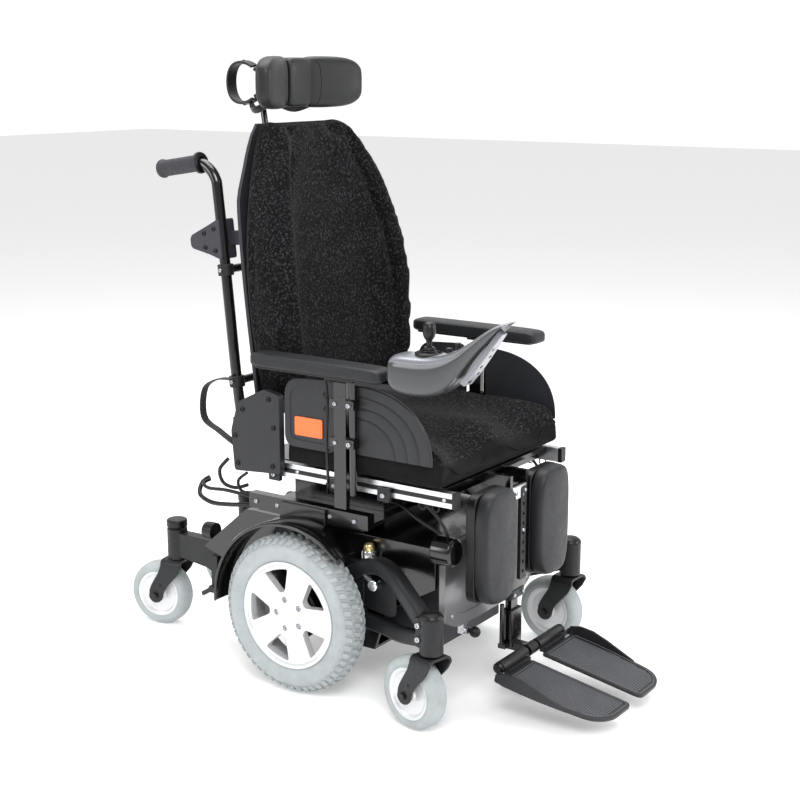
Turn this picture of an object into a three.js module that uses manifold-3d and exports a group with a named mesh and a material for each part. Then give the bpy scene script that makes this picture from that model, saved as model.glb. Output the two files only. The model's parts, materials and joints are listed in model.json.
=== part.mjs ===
// Centre-wheel-drive power wheelchair with a contoured seat, millimetres, +Z up.
// The front of the chair faces -Y and the user's left is +X. Places are measured from the floor and the drive axle.
import * as THREE from 'three';
import { mergeVertices } from 'three/addons/utils/BufferGeometryUtils.js';
import Module from 'manifold-3d';

const wasm = await Module();
wasm.setup();

// ---- driving dimensions ----
const GAP = 0.5;                 // running gap between neighbouring pieces
const AXLE_TO_CENTRE = 40;       // how far the drive axle lies behind the middle of the whole chair
const WHEEL = { x: 266, r: 173.7, width: 73.5, rimR: 117, rimFace: 31, segs: 40 };
const CASTER = { r: 76.2, width: 48, trail: 46, forkHalf: 33.5, forkWall: 6.5, axleR: 6, barrelR: 24, top: 168 };
const FRONT = { x: 287, y: -358, barrelTop: 254, swivelRight: -12.3, swivelLeft: -3.2 };
const REAR = { x: 128, y: 462, barrelTop: 240, swivel: 10.6 };
const ARM_PIVOT = { x: 200, y: -115, z: 220 };
const DECK = { halfWidth: 186, front: -300, rear: 322, bottom: 96, top: 346, wall: 8 };
const RAIL = { x: 225, width: 19, top: 482.5, height: 31, front: -364, rear: 190 };
const SEAT = { halfWidth: 243, front: -352, rear: 45, bottom: 489, top: 590 };
const POST = { x: 258, y: -120, width: 30, bottom: 421, top: 683, rodY: -146, rodR: 8 };
const PAD = { x: 268, half: 30, bottom: 698, top: 726, rear: 92, length: 332, leftAhead: 42 };
const BACK = { y: 170, z: 490, lean: 5.7, tubeX: 205, tubeR: 11.5, halfWidth: 196 };
const YOKE = { y: 251.5, z: 1265.8, r: 8 };
const HEAD = { y: 190, bottom: 1209, top: 1320, hingeX: 60, endR: 22, spread: 24 };
const LEG = { y: -372, z: 440, width: 50, depth: 28, bottom: 205, hingeY: -419, hingeZ: 99 };
const PLATE = { slope: 10, inner: 20, outer: 160, length: 236, thick: 8 };
const POD = { x: 262, half: 43 };
const STICK = { y: -333, z: 758.5, wellR: 24 };
const LEVER = { x: 178.5, y: 306, z: 138 };

// ---- finishes ----
const paint = (color, roughness, metalness = 0) => new THREE.MeshStandardMaterial({ color, roughness, metalness });
const FRAME_BLACK = paint(0x141416, 0.25, 0.3);
const CAST_GREY = paint(0x46494e, 0.5, 0.3);
const SHELL_GREY = paint(0x5f5f69, 0.6);
const PANEL_GREY = paint(0x414246, 0.5);
const TYRE_GREY = paint(0xaeb4b4, 0.9);
const RIM_SILVER = paint(0xe4e6e8, 0.35, 0.4);
const ALUMINIUM = paint(0xd8dadc, 0.3, 0.9);
const COVER_GREY = paint(0x828282, 0.35, 0.6);
const FABRIC = paint(0x26262a, 0.95);
const PAD_GREY = paint(0x3e3f42, 0.6);
const GRIP_GREY = paint(0x4c4c53, 0.7);
const POD_SILVER = paint(0x8e9196, 0.35, 0.5);
const KEY_BLACK = paint(0x17171a, 0.5);

// ---- geometry helpers ----
const rad = THREE.MathUtils.degToRad;

function solid(geometry) {
  const bare = geometry.index ? geometry : geometry.clone();
  bare.deleteAttribute('normal');
  bare.deleteAttribute('uv');
  const merged = mergeVertices(bare, 1e-3);
  const kept = [];
  for (let i = 0; i < merged.index.count; i += 3) {
    const [a, b, c] = [0, 1, 2].map((k) => merged.index.getX(i + k));
    if (a !== b && b !== c && a !== c) kept.push(a, b, c);
  }
  const vertProperties = Float32Array.from(merged.attributes.position.array);
  return new wasm.Manifold(new wasm.Mesh({ numProp: 3, vertProperties, triVerts: Uint32Array.from(kept) }));
}

function toGeometry(manifold) {
  const mesh = manifold.getMesh();
  const geometry = new THREE.BufferGeometry();
  geometry.setAttribute('position', new THREE.BufferAttribute(mesh.vertProperties, 3));
  geometry.setIndex(new THREE.BufferAttribute(mesh.triVerts, 1));
  return geometry;
}

const join = (...geometries) => toGeometry(geometries.map(solid).reduce((a, b) => a.add(b)));
const cut = (body, ...tools) => toGeometry(tools.map(solid).reduce((a, b) => a.subtract(b), solid(body)));
const common = (...geometries) => toGeometry(geometries.map(solid).reduce((a, b) => a.intersect(b)));

function block(x0, x1, y0, y1, z0, z1) {
  const geometry = new THREE.BoxGeometry(x1 - x0, y1 - y0, z1 - z0);
  return geometry.translate((x0 + x1) / 2, (y0 + y1) / 2, (z0 + z1) / 2);
}

// A round bar along one axis, from a to b, centred on the two other coordinates in their X, Y, Z order.
function bar(axis, r, a, b, u, v, segs = 20) {
  const geometry = new THREE.CylinderGeometry(r, r, b - a, segs);
  const middle = (a + b) / 2;
  if (axis === 'x') return geometry.rotateZ(-Math.PI / 2).translate(middle, u, v);
  if (axis === 'z') return geometry.rotateX(Math.PI / 2).translate(u, v, middle);
  return geometry.translate(u, middle, v);
}

// An outline with every corner rounded by the same radius, or by the third number of its point.
function outline(points, radius = 0, path = new THREE.Shape()) {
  const at = points.map(([x, y]) => new THREE.Vector2(x, y));
  points.forEach((point, i) => {
    const corner = at[i];
    const before = at[(i + at.length - 1) % at.length].clone().sub(corner);
    const after = at[(i + 1) % at.length].clone().sub(corner);
    const r = Math.min(point[2] ?? radius, before.length() / 2.01, after.length() / 2.01);
    const start = corner.clone().add(before.setLength(r));
    const end = corner.clone().add(after.setLength(r));
    if (i === 0) path.moveTo(start.x, start.y);
    else path.lineTo(start.x, start.y);
    if (r > 0) path.quadraticCurveTo(corner.x, corner.y, end.x, end.y);
  });
  path.closePath();
  return path;
}

const extrude = (shape, depth, curveSegments) =>
  new THREE.ExtrudeGeometry(shape, { depth, bevelEnabled: false, curveSegments });

// Outlines in plan (XY), seen from the side (YZ) and seen from the front (XZ).
const planSolid = (shape, z0, z1, segs = 4) => extrude(shape, z1 - z0, segs).translate(0, 0, z0);
const sideSolid = (shape, x0, x1, segs = 4) =>
  extrude(shape, x1 - x0, segs).rotateX(Math.PI / 2).rotateZ(Math.PI / 2).translate(x0, 0, 0);
const frontSolid = (shape, y0, y1, segs = 4) =>
  extrude(shape, y1 - y0, segs).rotateX(Math.PI / 2).translate(0, y1, 0);

const round = (r, x = 0, y = 0) => new THREE.Shape().absarc(x, y, r, 0, 2 * Math.PI);

function tube(points, r, steps = 16, segs = 6) {
  const extrudePath = new THREE.CatmullRomCurve3(points.map((p) => new THREE.Vector3(...p)), false, 'centripetal');
  return new THREE.ExtrudeGeometry(round(r), { extrudePath, steps, curveSegments: segs, bevelEnabled: false });
}

// A turned piece: its profile is [radius, distance along X] pairs that close on themselves.
function turned(profile, segs) {
  const points = [...profile, profile[0]].map(([r, along]) => new THREE.Vector2(r, along));
  return new THREE.LatheGeometry(points, segs).rotateZ(-Math.PI / 2);
}

function add(parent, name, geometry, material) {
  const mesh = new THREE.Mesh(geometry, material);
  mesh.name = name;
  parent.add(mesh);
  return mesh;
}

const chair = new THREE.Group();
const body = new THREE.Group();
body.position.y = AXLE_TO_CENTRE;
chair.add(body);

// Each side is built on +X and the user's right side is its mirror image.
const sides = ['left', 'right'].map((side) => {
  const group = new THREE.Group();
  if (side === 'right') group.scale.x = -1;
  body.add(group);
  return { side, group };
});

// ---- power base ----
function chassisFrame() {
  const { halfWidth, front, rear, bottom, top, wall } = DECK;
  const sleeve = cut(
    block(-halfWidth, halfWidth, front, rear, bottom, top),
    block(-halfWidth + wall, halfWidth - wall, front - 1, rear + 1, bottom + wall, top - wall),
    sideSolid(outline([[front - 1, 40], [-130, 40], [-180, 190], [front - 1, 260]]), -halfWidth - 1, halfWidth + 1),
    sideSolid(outline([[rear + 1, 40], [150, 40], [210, 200], [rear + 1, 236]]), -halfWidth - 1, halfWidth + 1),
    sideSolid(outline([[rear + 1, top + 1], [196, top + 1], [206, top - 6], [rear + 1, 240]]), -halfWidth - 1, halfWidth + 1),
    bar('x', 62, -halfWidth - 1, halfWidth + 1, 0, WHEEL.r, 24),
  );
  const rails = [-1, 1].map((s) => block(s * 220 - 12, s * 220 + 12, -165, 150, 372, 404));
  const deck = block(-226, 226, -150, 130, 366, 376);
  const pedestal = cut(block(-110, 110, -120, 120, top - 1, 452), block(-98, 98, -121, 121, 378, 440));
  return join(sleeve, deck, ...rails, pedestal);
}

function batteryBox() {
  const inset = DECK.wall + 1;
  return block(-124, 124, -270, 192, DECK.bottom + inset, DECK.top - inset);
}

function batteryCover() {
  const shape = outline([[-180, 350, 20], [-180, 190, 30], [-130, 165, 20], [130, 165, 20], [180, 190, 30], [180, 350, 20]]);
  return frontSolid(shape, -314, DECK.front - GAP);
}

function gearmotor() {
  return join(
    bar('x', 58, 130, 205, 0, WHEEL.r, 28),
    bar('x', 48, 200, 228, 0, WHEEL.r, 28),
    bar('x', 12, 220, 262, 0, WHEEL.r, 16),
  );
}

function fender() {
  const shape = new THREE.Shape();
  shape.absarc(0, WHEEL.r, 201, rad(132), rad(-2), true);
  shape.absarc(0, WHEEL.r, 195, rad(-2), rad(132), false);
  shape.closePath();
  return join(sideSolid(shape, 233, 299, 14), block(233, 240, -60, 60, WHEEL.r + 180, WHEEL.r + 226));
}

function rearArm() {
  const { x, y, barrelTop } = REAR;
  const beam = sideSolid(outline([[208, 150], [208, 246], [290, 234], [440, 232], [470, 232], [470, 178], [350, 165], [300, 120]], 12), x - 15, x + 15);
  const inner = DECK.halfWidth - DECK.wall - GAP;
  const flanges = [block(x - 15, inner, 296, 314, 124, 214), block(x - 15, inner, 220, 256, 216, 238)];
  return cut(join(beam, ...flanges, bar('z', CASTER.barrelR, CASTER.top, barrelTop, x, y)), stemBore(x, y));
}

const stemBore = (x, y) => bar('z', 8.4, CASTER.top - 1, CASTER.top + 40, x, y, 16);

// ---- sprung front caster arms ----
function frontArm() {
  const { x, y, barrelTop } = FRONT;
  const swingPlate = sideSolid(outline([[-140, 150], [-140, 296], [-92, 296], [-92, 150]], 14), ARM_PIVOT.x, 216);
  const upper = tube([[208, -112, 268], [212, -180, 296], [250, -255, 284], [x, y + 6, 226]], 19, 9, 5);
  const lower = tube([[208, -116, 172], [211, -190, 168], [248, -262, 182], [x, y + 6, 205]], 14, 9, 5);
  const barrel = bar('z', CASTER.barrelR, CASTER.top, barrelTop, x, y);
  return cut(join(swingPlate, upper, lower, barrel), stemBore(x, y));
}

// ---- casters ----
// The fork and wheel hang below the swivel axis, which is the group's own Z axis.
function casterFork() {
  const { r, trail, forkHalf, forkWall, axleR, top } = CASTER;
  const side = outline([[-24, top - 1], [-24, 150], [trail - 16, r - 14], [trail + 15, r - 14], [trail + 17, r + 12],
    [30, 150], [30, top - 1]], 9);
  const legs = [forkWall - forkHalf, forkHalf].map((x1) => sideSolid(side, x1 - forkWall, x1));
  const crown = block(-forkHalf + 1, forkHalf - 1, -22, 28, top - 12, top - 1);
  const stem = bar('z', 8, top - 5, top + 38, 0, 0, 16);
  return join(...legs, crown, stem, bar('x', axleR, -forkHalf - 3, forkHalf + 3, trail, r, 16));
}

function casterWheel() {
  const { r, width, axleR, trail } = CASTER;
  const half = width / 2;
  const profile = [[axleR + 0.3, -20], [24, -20], [26, -14], [50, -14], [54, -half + 2], [r - 10, -half], [r - 2, -half + 8],
    [r, 0], [r - 2, half - 8], [r - 10, half], [54, half - 2], [50, 14], [26, 14], [24, 20], [axleR + 0.3, 20]];
  return turned(profile, 22).translate(0, trail, r);
}

function addCaster(parent, name, x, y, swivel) {
  const pivot = new THREE.Group();
  pivot.position.set(x, y, 0);
  pivot.rotation.z = rad(swivel);
  parent.add(pivot);
  add(pivot, `caster_fork_${name}`, casterFork(), CAST_GREY);
  add(pivot, `caster_wheel_${name}`, casterWheel(), TYRE_GREY);
}

// ---- drive wheels ----
function driveTyre() {
  const { r, width, rimR, segs } = WHEEL;
  const half = width / 2;
  const profile = [[rimR + GAP, -27], [rimR + 14, -half + 1], [r - 22, -half], [r - 6, -half + 10], [r, -14],
    [r, 14], [r - 6, half - 10], [r - 22, half], [rimR + 14, half - 1], [rimR + GAP, 27]];
  return turned(profile, segs).translate(WHEEL.x, 0, r);
}

function driveRim() {
  const { rimR, rimFace, segs } = WHEEL;
  const profile = [[12.4, -4], [30, -4], [34, 13], [rimR - 12, 16], [rimR - 12, -26], [rimR, -26], [rimR, rimFace],
    [rimR - 8, rimFace], [rimR - 14, 24], [34, 24], [30, 20], [12.4, 20]];
  const window = outline([[52, -20, 8], [92, -35, 12], [98, 0, 14], [92, 35, 12], [52, 20, 8]]);
  const windows = [0, 1, 2, 3, 4].map((i) => sideSolid(window, 5, 40, 3).rotateX(rad(90 + 72 * i)));
  return cut(turned(profile, segs), ...windows).translate(WHEEL.x, 0, WHEEL.r);
}

function freewheelLever() {
  const { x, y, z } = LEVER;
  const handle = sideSolid(outline([[y, z - 6], [y, z + 6], [y + 34, z - 14], [y + 30, z - 24]], 5), x + 2, x + 7);
  return join(bar('x', 9, x, x + 10, y, z, 16), handle);
}

// ---- seat ----
function seatFrame() {
  const cross = [-300, -100, 120].map((y) => block(-205, 205, y - 15, y + 15, 453, 476));
  const pan = block(-205, 205, -335, 150, 475, 484);
  const ears = [-1, 1].map((s) => block(s * 32 - 5, s * 32 + 5, -386, -300, 425, 478));
  return join(...cross, pan, ...ears, bar('x', 6, -37, 37, LEG.y, LEG.z, 16));
}

function seatRail() {
  const { x, width, top, height, front, rear } = RAIL;
  const groove = block(x - 3, x + 1, front - 1, rear + 1, top - 20, top - 11);
  return cut(block(x - width, x, front, rear, top - height, top), groove);
}

function seatCushion() {
  const { halfWidth, front, rear, bottom, top } = SEAT;
  const hump = new THREE.Shape();
  hump.moveTo(-halfWidth, bottom);
  hump.lineTo(halfWidth, bottom);
  hump.lineTo(halfWidth, top - 16);
  hump.quadraticCurveTo(halfWidth - 14, top + 4, halfWidth - 50, top - 8);
  hump.quadraticCurveTo(120, top - 66, 30, top - 22);
  hump.quadraticCurveTo(0, top - 14, -30, top - 22);
  hump.quadraticCurveTo(-120, top - 66, 50 - halfWidth, top - 8);
  hump.quadraticCurveTo(14 - halfWidth, top + 4, -halfWidth, top - 16);
  hump.closePath();
  const side = outline([[front, bottom, 18], [rear, bottom, 4], [rear, top + 10, 20], [front, top + 10, 60]]);
  return common(frontSolid(hump, front - 5, rear + 5, 5), sideSolid(side, -halfWidth - 5, halfWidth + 5, 4));
}

function frontPanel() {
  const shape = new THREE.Shape();
  shape.moveTo(-150, 536);
  shape.lineTo(-150, 678);
  shape.bezierCurveTo(-230, 676, -318, 630, -332, 556);
  shape.lineTo(-330, 538);
  shape.closePath();
  return sideSolid(shape, 246, 251, 10);
}

const rearPanel = () => sideSolid(outline([[32, 530], [-100, 530], [-100, 682], [32, 672]], 16), 246, 251);

const rearCover = () => sideSolid(
  outline([[50, 462], [176, 452], [184, 540], [164, 604], [92, 640], [50, 632]], 8),
  RAIL.x + 4, RAIL.x + 22,
);

function armrestPost() {
  const { x, y, width, bottom, top, rodY, rodR } = POST;
  const upright = block(x - 6, x + 6, y - width / 2, y + width / 2, bottom, top);
  const clamps = [561, 641].map((z) => block(x - 6, x + 14, rodY - 14, y + width / 2 + 4, z - 9, z + 9));
  const foot = block(RAIL.x + GAP, x, y - width / 2, y + width / 2, 455, 479);
  return cut(join(upright, ...clamps, foot), bar('z', rodR + 0.4, 400, 700, x, rodY, 16));
}

function armPad(ahead) {
  const { x, half, bottom, top, rear, length } = PAD;
  const back = rear - ahead;
  const slab = planSolid(
    outline([[x - half, back], [x + half, back], [x + half, back - length], [x - half, back - length]], 16), bottom, top);
  const rod = bar('z', POST.rodR, 450, bottom + 10, POST.x, POST.rodY, 16);
  return join(slab, rod);
}

// ---- joystick, on the user's right ----
function joystickHousing() {
  const { x, half } = POD;
  const shape = new THREE.Shape();
  shape.moveTo(-256, 700);
  shape.quadraticCurveTo(-262, 678, -300, 682);
  shape.quadraticCurveTo(-410, 700, -440, 752);
  shape.quadraticCurveTo(-460, 800, -506, 828);
  shape.lineTo(-508, 842);
  shape.quadraticCurveTo(-440, 832, -400, 784);
  shape.quadraticCurveTo(-350, 752, -262, 760);
  shape.lineTo(-256, 740);
  shape.closePath();
  const plan = outline([[-half, -250, 14], [-half, -420, 60], [-20, -510, 20], [20, -510, 20], [half, -420, 60],
    [half, -250, 14]]);
  const pod = common(sideSolid(shape, -half, half, 8), planSolid(plan, 600, 900));
  const well = bar('z', STICK.wellR, STICK.z - 9, 800, 0, STICK.y, 24);
  const keys = [-378, -398].map((y) => bar('z', 6.5, 700, 900, 0, y, 14));
  const bracket = block(-14, 14, -300, -165, 686, 697);
  return cut(join(pod, bracket), well, ...keys).translate(-x, 0, 0);
}

const joystickCollar = () => new THREE.LatheGeometry(
  [[0, 0], [17, 0], [17, 6], [14, 20], [10, 20], [10, 6], [0, 6]].map(([r, h]) => new THREE.Vector2(r, h)), 20,
).rotateX(Math.PI / 2).translate(-POD.x, STICK.y, STICK.z);

const joystickStick = () => new THREE.LatheGeometry(
  [[0, 8.5], [5, 8.5], [5, 30], [11, 38], [13, 52], [11, 66], [0, 68]].map(([r, h]) => new THREE.Vector2(r, h)), 20,
).rotateX(Math.PI / 2).translate(-POD.x, STICK.y, STICK.z);

// ---- back ----
function backFrame() {
  const { tubeX, tubeR } = BACK;
  const uprights = [-1, 1].map((s) => tube(
    [[s * tubeX, 8, 10], [s * tubeX, 14, 150], [s * tubeX, 14, 340], [s * tubeX, 14, 540], [s * tubeX, 18, 585],
      [s * tubeX, 42, 612], [s * tubeX, 70, 617], [s * tubeX, 130, 613.9], [s * tubeX, 188, 610.8]], tubeR, 22, 5));
  const bars = [150, 390].map((z) => bar('x', 9, -tubeX, tubeX, 14, z, 14));
  const stemSocket = block(-24, 24, 4, 30, 420, 560);
  return join(...uprights, ...bars, stemSocket, block(-9, 9, 6, 24, 140, 440));
}

function pushGrip(x) {
  const bore = BACK.tubeR + 2 * GAP;
  const sleeve = turned([[bore, -55], [23, -55], [23, -49], [17, -47], [17.5, 50], [20, 54], [20, 60], [0, 60], [0, 56], [bore, 56]], 16);
  return sleeve.rotateZ(Math.PI / 2).rotateX(rad(-3.05)).translate(x, 135, 613.6);
}

// The back's section in plan: flat in the middle, with wings that reach forward to hold the trunk.
function wingSection(outer, inner, tip, front, back) {
  const shape = new THREE.Shape();
  shape.moveTo(-outer, back);
  shape.lineTo(outer, back);
  shape.bezierCurveTo(outer + 2, (back + tip) / 2, outer - 4, tip + 20, inner + 12, tip);
  shape.quadraticCurveTo(inner - 4, tip + 4, inner - 18, tip + 44);
  shape.quadraticCurveTo(70, front, 0, front);
  shape.quadraticCurveTo(-70, front, 18 - inner, tip + 44);
  shape.quadraticCurveTo(4 - inner, tip + 4, -inner - 12, tip);
  shape.bezierCurveTo(4 - outer, tip + 20, -outer - 2, (back + tip) / 2, -outer, back);
  shape.closePath();
  return shape;
}

function backCushion() {
  const { halfWidth } = BACK;
  const plan = planSolid(wingSection(halfWidth + 32, 196, -164, -86, -47), 90, 730, 5);
  const face = frontSolid(
    outline([[-halfWidth - 24, 104, 30], [halfWidth + 24, 104, 30], [halfWidth + 34, 330, 90], [halfWidth - 2, 560, 60],
      [138, 696, 44], [-138, 696, 44], [2 - halfWidth, 560, 60], [-halfWidth - 34, 330, 90]]), -260, 0, 4);
  const side = sideSolid(outline([[-47, 96], [-47, 704], [-100, 696, 20], [-142, 560, 60], [-172, 330, 80], [-158, 96, 20]]),
    -260, 260, 4);
  return common(plan, face, side);
}

function backShell() {
  const { halfWidth } = BACK;
  const face = frontSolid(
    outline([[-halfWidth, 60, 20], [halfWidth, 60, 20], [halfWidth, 520, 60], [120, 690, 40], [-120, 690, 40],
      [-halfWidth, 520, 60]]), -60, 20, 4);
  const plate = planSolid(outline([[-halfWidth, -46.5], [halfWidth, -46.5], [halfWidth, -34, 6], [150, -14, 20],
    [-150, -14, 20], [-halfWidth, -34, 6]]), 55, 700, 3);
  const rearBracket = sideSolid(outline([[28, 410], [28, 500], [60, 486], [112, 468], [112, 438], [60, 424]], 8), -222, -172);
  const rearLeg = block(-189, -160, -20, 34, 440, 470);
  return join(common(face, plate), rearBracket, rearLeg);
}

// ---- head support ----
function headrestStem() {
  const upright = block(-16, 16, 31, 40, 480, 690);
  const mast = tube([[0, 36, 670], [0, 40, 730], [0, 44, 772], [0, 6, 780]], 7, 12);
  const yoke = bar('x', YOKE.r, -22, 22, 4, 780, 14);
  return join(upright, mast, yoke);
}

function headrestCentre() {
  const { y, bottom, top, hingeX, endR } = HEAD;
  const half = hingeX - endR - 2;
  const shape = outline([[-half, y - 20], [half, y - 20], [half, y + 20], [-half, y + 20]], 4);
  const ears = [-1, 1].map((s) => block(s * 14 - 4, s * 14 + 4, y + 18, YOKE.y + 12, YOKE.z - 14, YOKE.z + 14));
  const pad = join(planSolid(shape, bottom + 4, top - 4), ...ears);
  return cut(pad, bar('x', YOKE.r + 0.4, -30, 30, YOKE.y, YOKE.z, 16));
}

function headrestWing() {
  const { y, bottom, top, hingeX, endR, spread } = HEAD;
  const reach = 122;
  const shape = new THREE.Shape();
  shape.absarc(0, 0, endR, Math.PI / 2, 1.5 * Math.PI, false);
  shape.lineTo(reach - 16, -endR);
  shape.quadraticCurveTo(reach, -endR, reach, 0);
  shape.quadraticCurveTo(reach, endR, reach - 16, endR);
  shape.closePath();
  const body = planSolid(shape, bottom, top, 5);
  return body.rotateZ(rad(-spread)).translate(hingeX, y, 0);
}

// ---- leg support ----
function legrestColumn() {
  const { y, z, width, depth, bottom } = LEG;
  const inner = outline([[-14, y - 8], [14, y - 8], [14, y + 8], [-14, y + 8]]);
  const shape = outline([[-width / 2, y - depth / 2], [width / 2, y - depth / 2], [width / 2, y + depth / 2],
    [-width / 2, y + depth / 2]], 4);
  shape.holes.push(inner);
  return cut(planSolid(shape, bottom, z + 14), bar('x', 6.4, -30, 30, y, z, 16));
}

function footTube() {
  const { y, hingeY, hingeZ } = LEG;
  const mast = block(-14 + GAP, 14 - GAP, y - 8 + GAP, y + 8 - GAP, hingeZ - 6, 380);
  const foot = block(-13, 13, hingeY, y + 7, hingeZ - 8, hingeZ + 8);
  return join(mast, foot, bar('x', 9, -128, 128, hingeY, hingeZ, 18));
}

function calfPad() {
  const pad = frontSolid(outline([[46, 234], [176, 234], [176, 472], [46, 472]], 26), -420, -382);
  const pivot = bar('x', 10, LEG.width / 2 + GAP, 70, -378, 350, 16);
  return join(pad, pivot);
}

function footplate() {
  const { slope, inner, outer, length, thick } = PLATE;
  const { hingeY, hingeZ } = LEG;
  const plan = outline([[inner + 2, -14, 4], [inner + 2, -length, 34], [outer - 20, -length, 60], [outer, -80, 60],
    [outer, -14, 10]]);
  const plate = planSolid(plan, -thick / 2, thick / 2, 4);
  const lip = sideSolid(outline([[-14, -4], [-14, 10], [-130, 12], [-170, -4]], 10), outer - 6, outer);
  const sleeve = bar('x', 14, inner, outer - 34, 0, 0, 20);
  const bridge = block(inner + 4, outer - 40, -30, -6, -thick / 2, thick / 2);
  const raw = join(plate, lip, bridge).rotateX(rad(slope)).translate(0, 0, -6);
  const bore = bar('x', 9.4, inner - 5, outer + 5, 0, 0, 20);
  return cut(join(raw, sleeve), bore).translate(0, hingeY, hingeZ);
}

// ---- control cable, strapped to the armrest post ----
const controlCable = () => tube(
  [[-266, -88, 690], [-267, -92, 640], [-268, -90, 560], [-266, -90, 500], [-256, -84, 462], [-238, -70, 440]], 3, 24, 4);

// ---- assembly ----
add(body, 'chassis_frame', chassisFrame(), FRAME_BLACK);
add(body, 'battery_box', batteryBox(), KEY_BLACK);
add(body, 'battery_cover', batteryCover(), COVER_GREY);
add(body, 'seat_frame', seatFrame(), FRAME_BLACK);
add(body, 'seat_cushion', seatCushion(), FABRIC);

for (const { side, group } of sides) {
  const mirror = side === 'right' ? -1 : 1;
  add(group, `gearmotor_${side}`, gearmotor(), FRAME_BLACK);
  add(group, `fender_${side}`, fender(), FRAME_BLACK);
  add(group, `rear_arm_${side}`, rearArm(), CAST_GREY);
  add(group, `front_arm_${side}`, frontArm(), CAST_GREY);
  addCaster(group, `front_${side}`, FRONT.x, FRONT.y, side === 'right' ? mirror * FRONT.swivelRight : FRONT.swivelLeft);
  addCaster(group, `rear_${side}`, REAR.x, REAR.y, mirror * REAR.swivel);
  add(group, `drive_tyre_${side}`, driveTyre(), TYRE_GREY);
  add(group, `drive_rim_${side}`, driveRim(), RIM_SILVER);
  add(group, `freewheel_lever_${side}`, freewheelLever(), CAST_GREY);
  add(group, `seat_rail_${side}`, seatRail(), ALUMINIUM);
  add(group, `front_panel_${side}`, frontPanel(), PANEL_GREY);
  add(group, `rear_panel_${side}`, rearPanel(), PANEL_GREY);
  add(group, `rear_cover_${side}`, rearCover(), SHELL_GREY);
  add(group, `armrest_post_${side}`, armrestPost(), CAST_GREY);
  add(group, `arm_pad_${side}`, armPad(side === 'left' ? PAD.leftAhead : 0), PAD_GREY);
  add(group, `headrest_wing_${side}`, headrestWing(), PAD_GREY);
  add(group, `calf_pad_${side}`, calfPad(), PAD_GREY);
  add(group, `footplate_${side}`, footplate(), PANEL_GREY);
}

add(body, 'headrest_centre', headrestCentre(), PAD_GREY);
add(body, 'joystick_housing', joystickHousing(), POD_SILVER);
add(body, 'joystick_collar', joystickCollar(), KEY_BLACK);
add(body, 'joystick_stick', joystickStick(), KEY_BLACK);
['power', 'speed'].forEach((key, i) => {
  const y = -378 - 20 * i;
  const z = 772 + 12 * i;
  add(body, `key_${key}`, bar('z', 6, z - 6, z + 9, -POD.x, y, 14), KEY_BLACK);
});
add(body, 'control_cable', controlCable(), KEY_BLACK);
add(body, 'legrest_column', legrestColumn(), FRAME_BLACK);
add(body, 'foot_tube', footTube(), FRAME_BLACK);

const back = new THREE.Group();
back.position.set(0, BACK.y, BACK.z);
back.rotation.x = rad(-BACK.lean);
body.add(back);
add(back, 'back_frame', backFrame(), FRAME_BLACK);
for (const { side } of sides) add(back, `push_grip_${side}`, pushGrip(side === 'left' ? BACK.tubeX : -BACK.tubeX), GRIP_GREY);
add(back, 'back_shell', backShell(), SHELL_GREY);
add(back, 'back_cushion', backCushion(), FABRIC);
add(back, 'headrest_stem', headrestStem(), FRAME_BLACK);

export default chair;
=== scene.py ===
import json
import math

import bmesh
import bpy
from mathutils import Matrix, Vector
from mathutils.bvhtree import BVHTree
from mathutils.kdtree import KDTree


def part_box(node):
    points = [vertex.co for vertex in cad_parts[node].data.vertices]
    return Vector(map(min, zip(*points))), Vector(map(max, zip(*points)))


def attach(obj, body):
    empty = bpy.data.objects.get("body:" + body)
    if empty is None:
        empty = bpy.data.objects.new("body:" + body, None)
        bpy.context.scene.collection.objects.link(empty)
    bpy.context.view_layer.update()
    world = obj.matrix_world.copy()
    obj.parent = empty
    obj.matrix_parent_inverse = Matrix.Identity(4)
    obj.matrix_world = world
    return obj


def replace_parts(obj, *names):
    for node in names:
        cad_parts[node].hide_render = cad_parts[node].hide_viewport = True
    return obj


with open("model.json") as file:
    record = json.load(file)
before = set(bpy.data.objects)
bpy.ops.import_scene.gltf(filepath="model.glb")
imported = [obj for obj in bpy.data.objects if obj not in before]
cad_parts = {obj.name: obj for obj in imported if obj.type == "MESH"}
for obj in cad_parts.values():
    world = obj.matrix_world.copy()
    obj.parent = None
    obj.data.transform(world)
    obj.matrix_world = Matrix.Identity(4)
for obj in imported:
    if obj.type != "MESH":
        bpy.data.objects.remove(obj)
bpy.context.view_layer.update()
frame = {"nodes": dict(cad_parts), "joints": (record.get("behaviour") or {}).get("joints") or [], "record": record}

bl_info = {
    "name": "Power wheelchair",
    "version": (1, 0, 0),
    "blender": (4, 5, 0),
    "location": "3D View > Sidebar > Wheelchair",
    "description": "Builds the finished surfaces of a centre-wheel-drive power wheelchair on its frame",
    "category": "Object",
}

# Lengths are millimetres. X runs to the user's left, Y to the rear from the drive axle, Z up from the
# floor.
MM = 0.001
SIDES = (("left", 1), ("right", -1))
BODY_OF = {node: body for body, nodes in frame["record"]["behaviour"]["bodies"].items() for node in nodes}
JOINT_AT = {joint["name"]: Vector(joint["pos_m"]) for joint in frame["joints"] if "pos_m" in joint}
AXLE = sum(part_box("drive_tyre_right"), Vector()) / 2
AXLE_BEHIND = AXLE.y / MM


def to_frame(point):
    """A point measured from the drive axle, in the frame's own metres."""
    return Vector((point[0], point[1] + AXLE_BEHIND, point[2])) * MM


def from_frame(point):
    """A frame point, in millimetres from the drive axle."""
    return Vector((point[0] / MM, point[1] / MM - AXLE_BEHIND, point[2] / MM))


def box_of(node):
    """The lowest and highest corner of a frame part, in millimetres from the drive axle."""
    low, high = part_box(node)
    return from_frame(low), from_frame(high)


RECLINE_AT = from_frame(JOINT_AT["recline"])
LEAN = math.radians(5.7)


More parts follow.
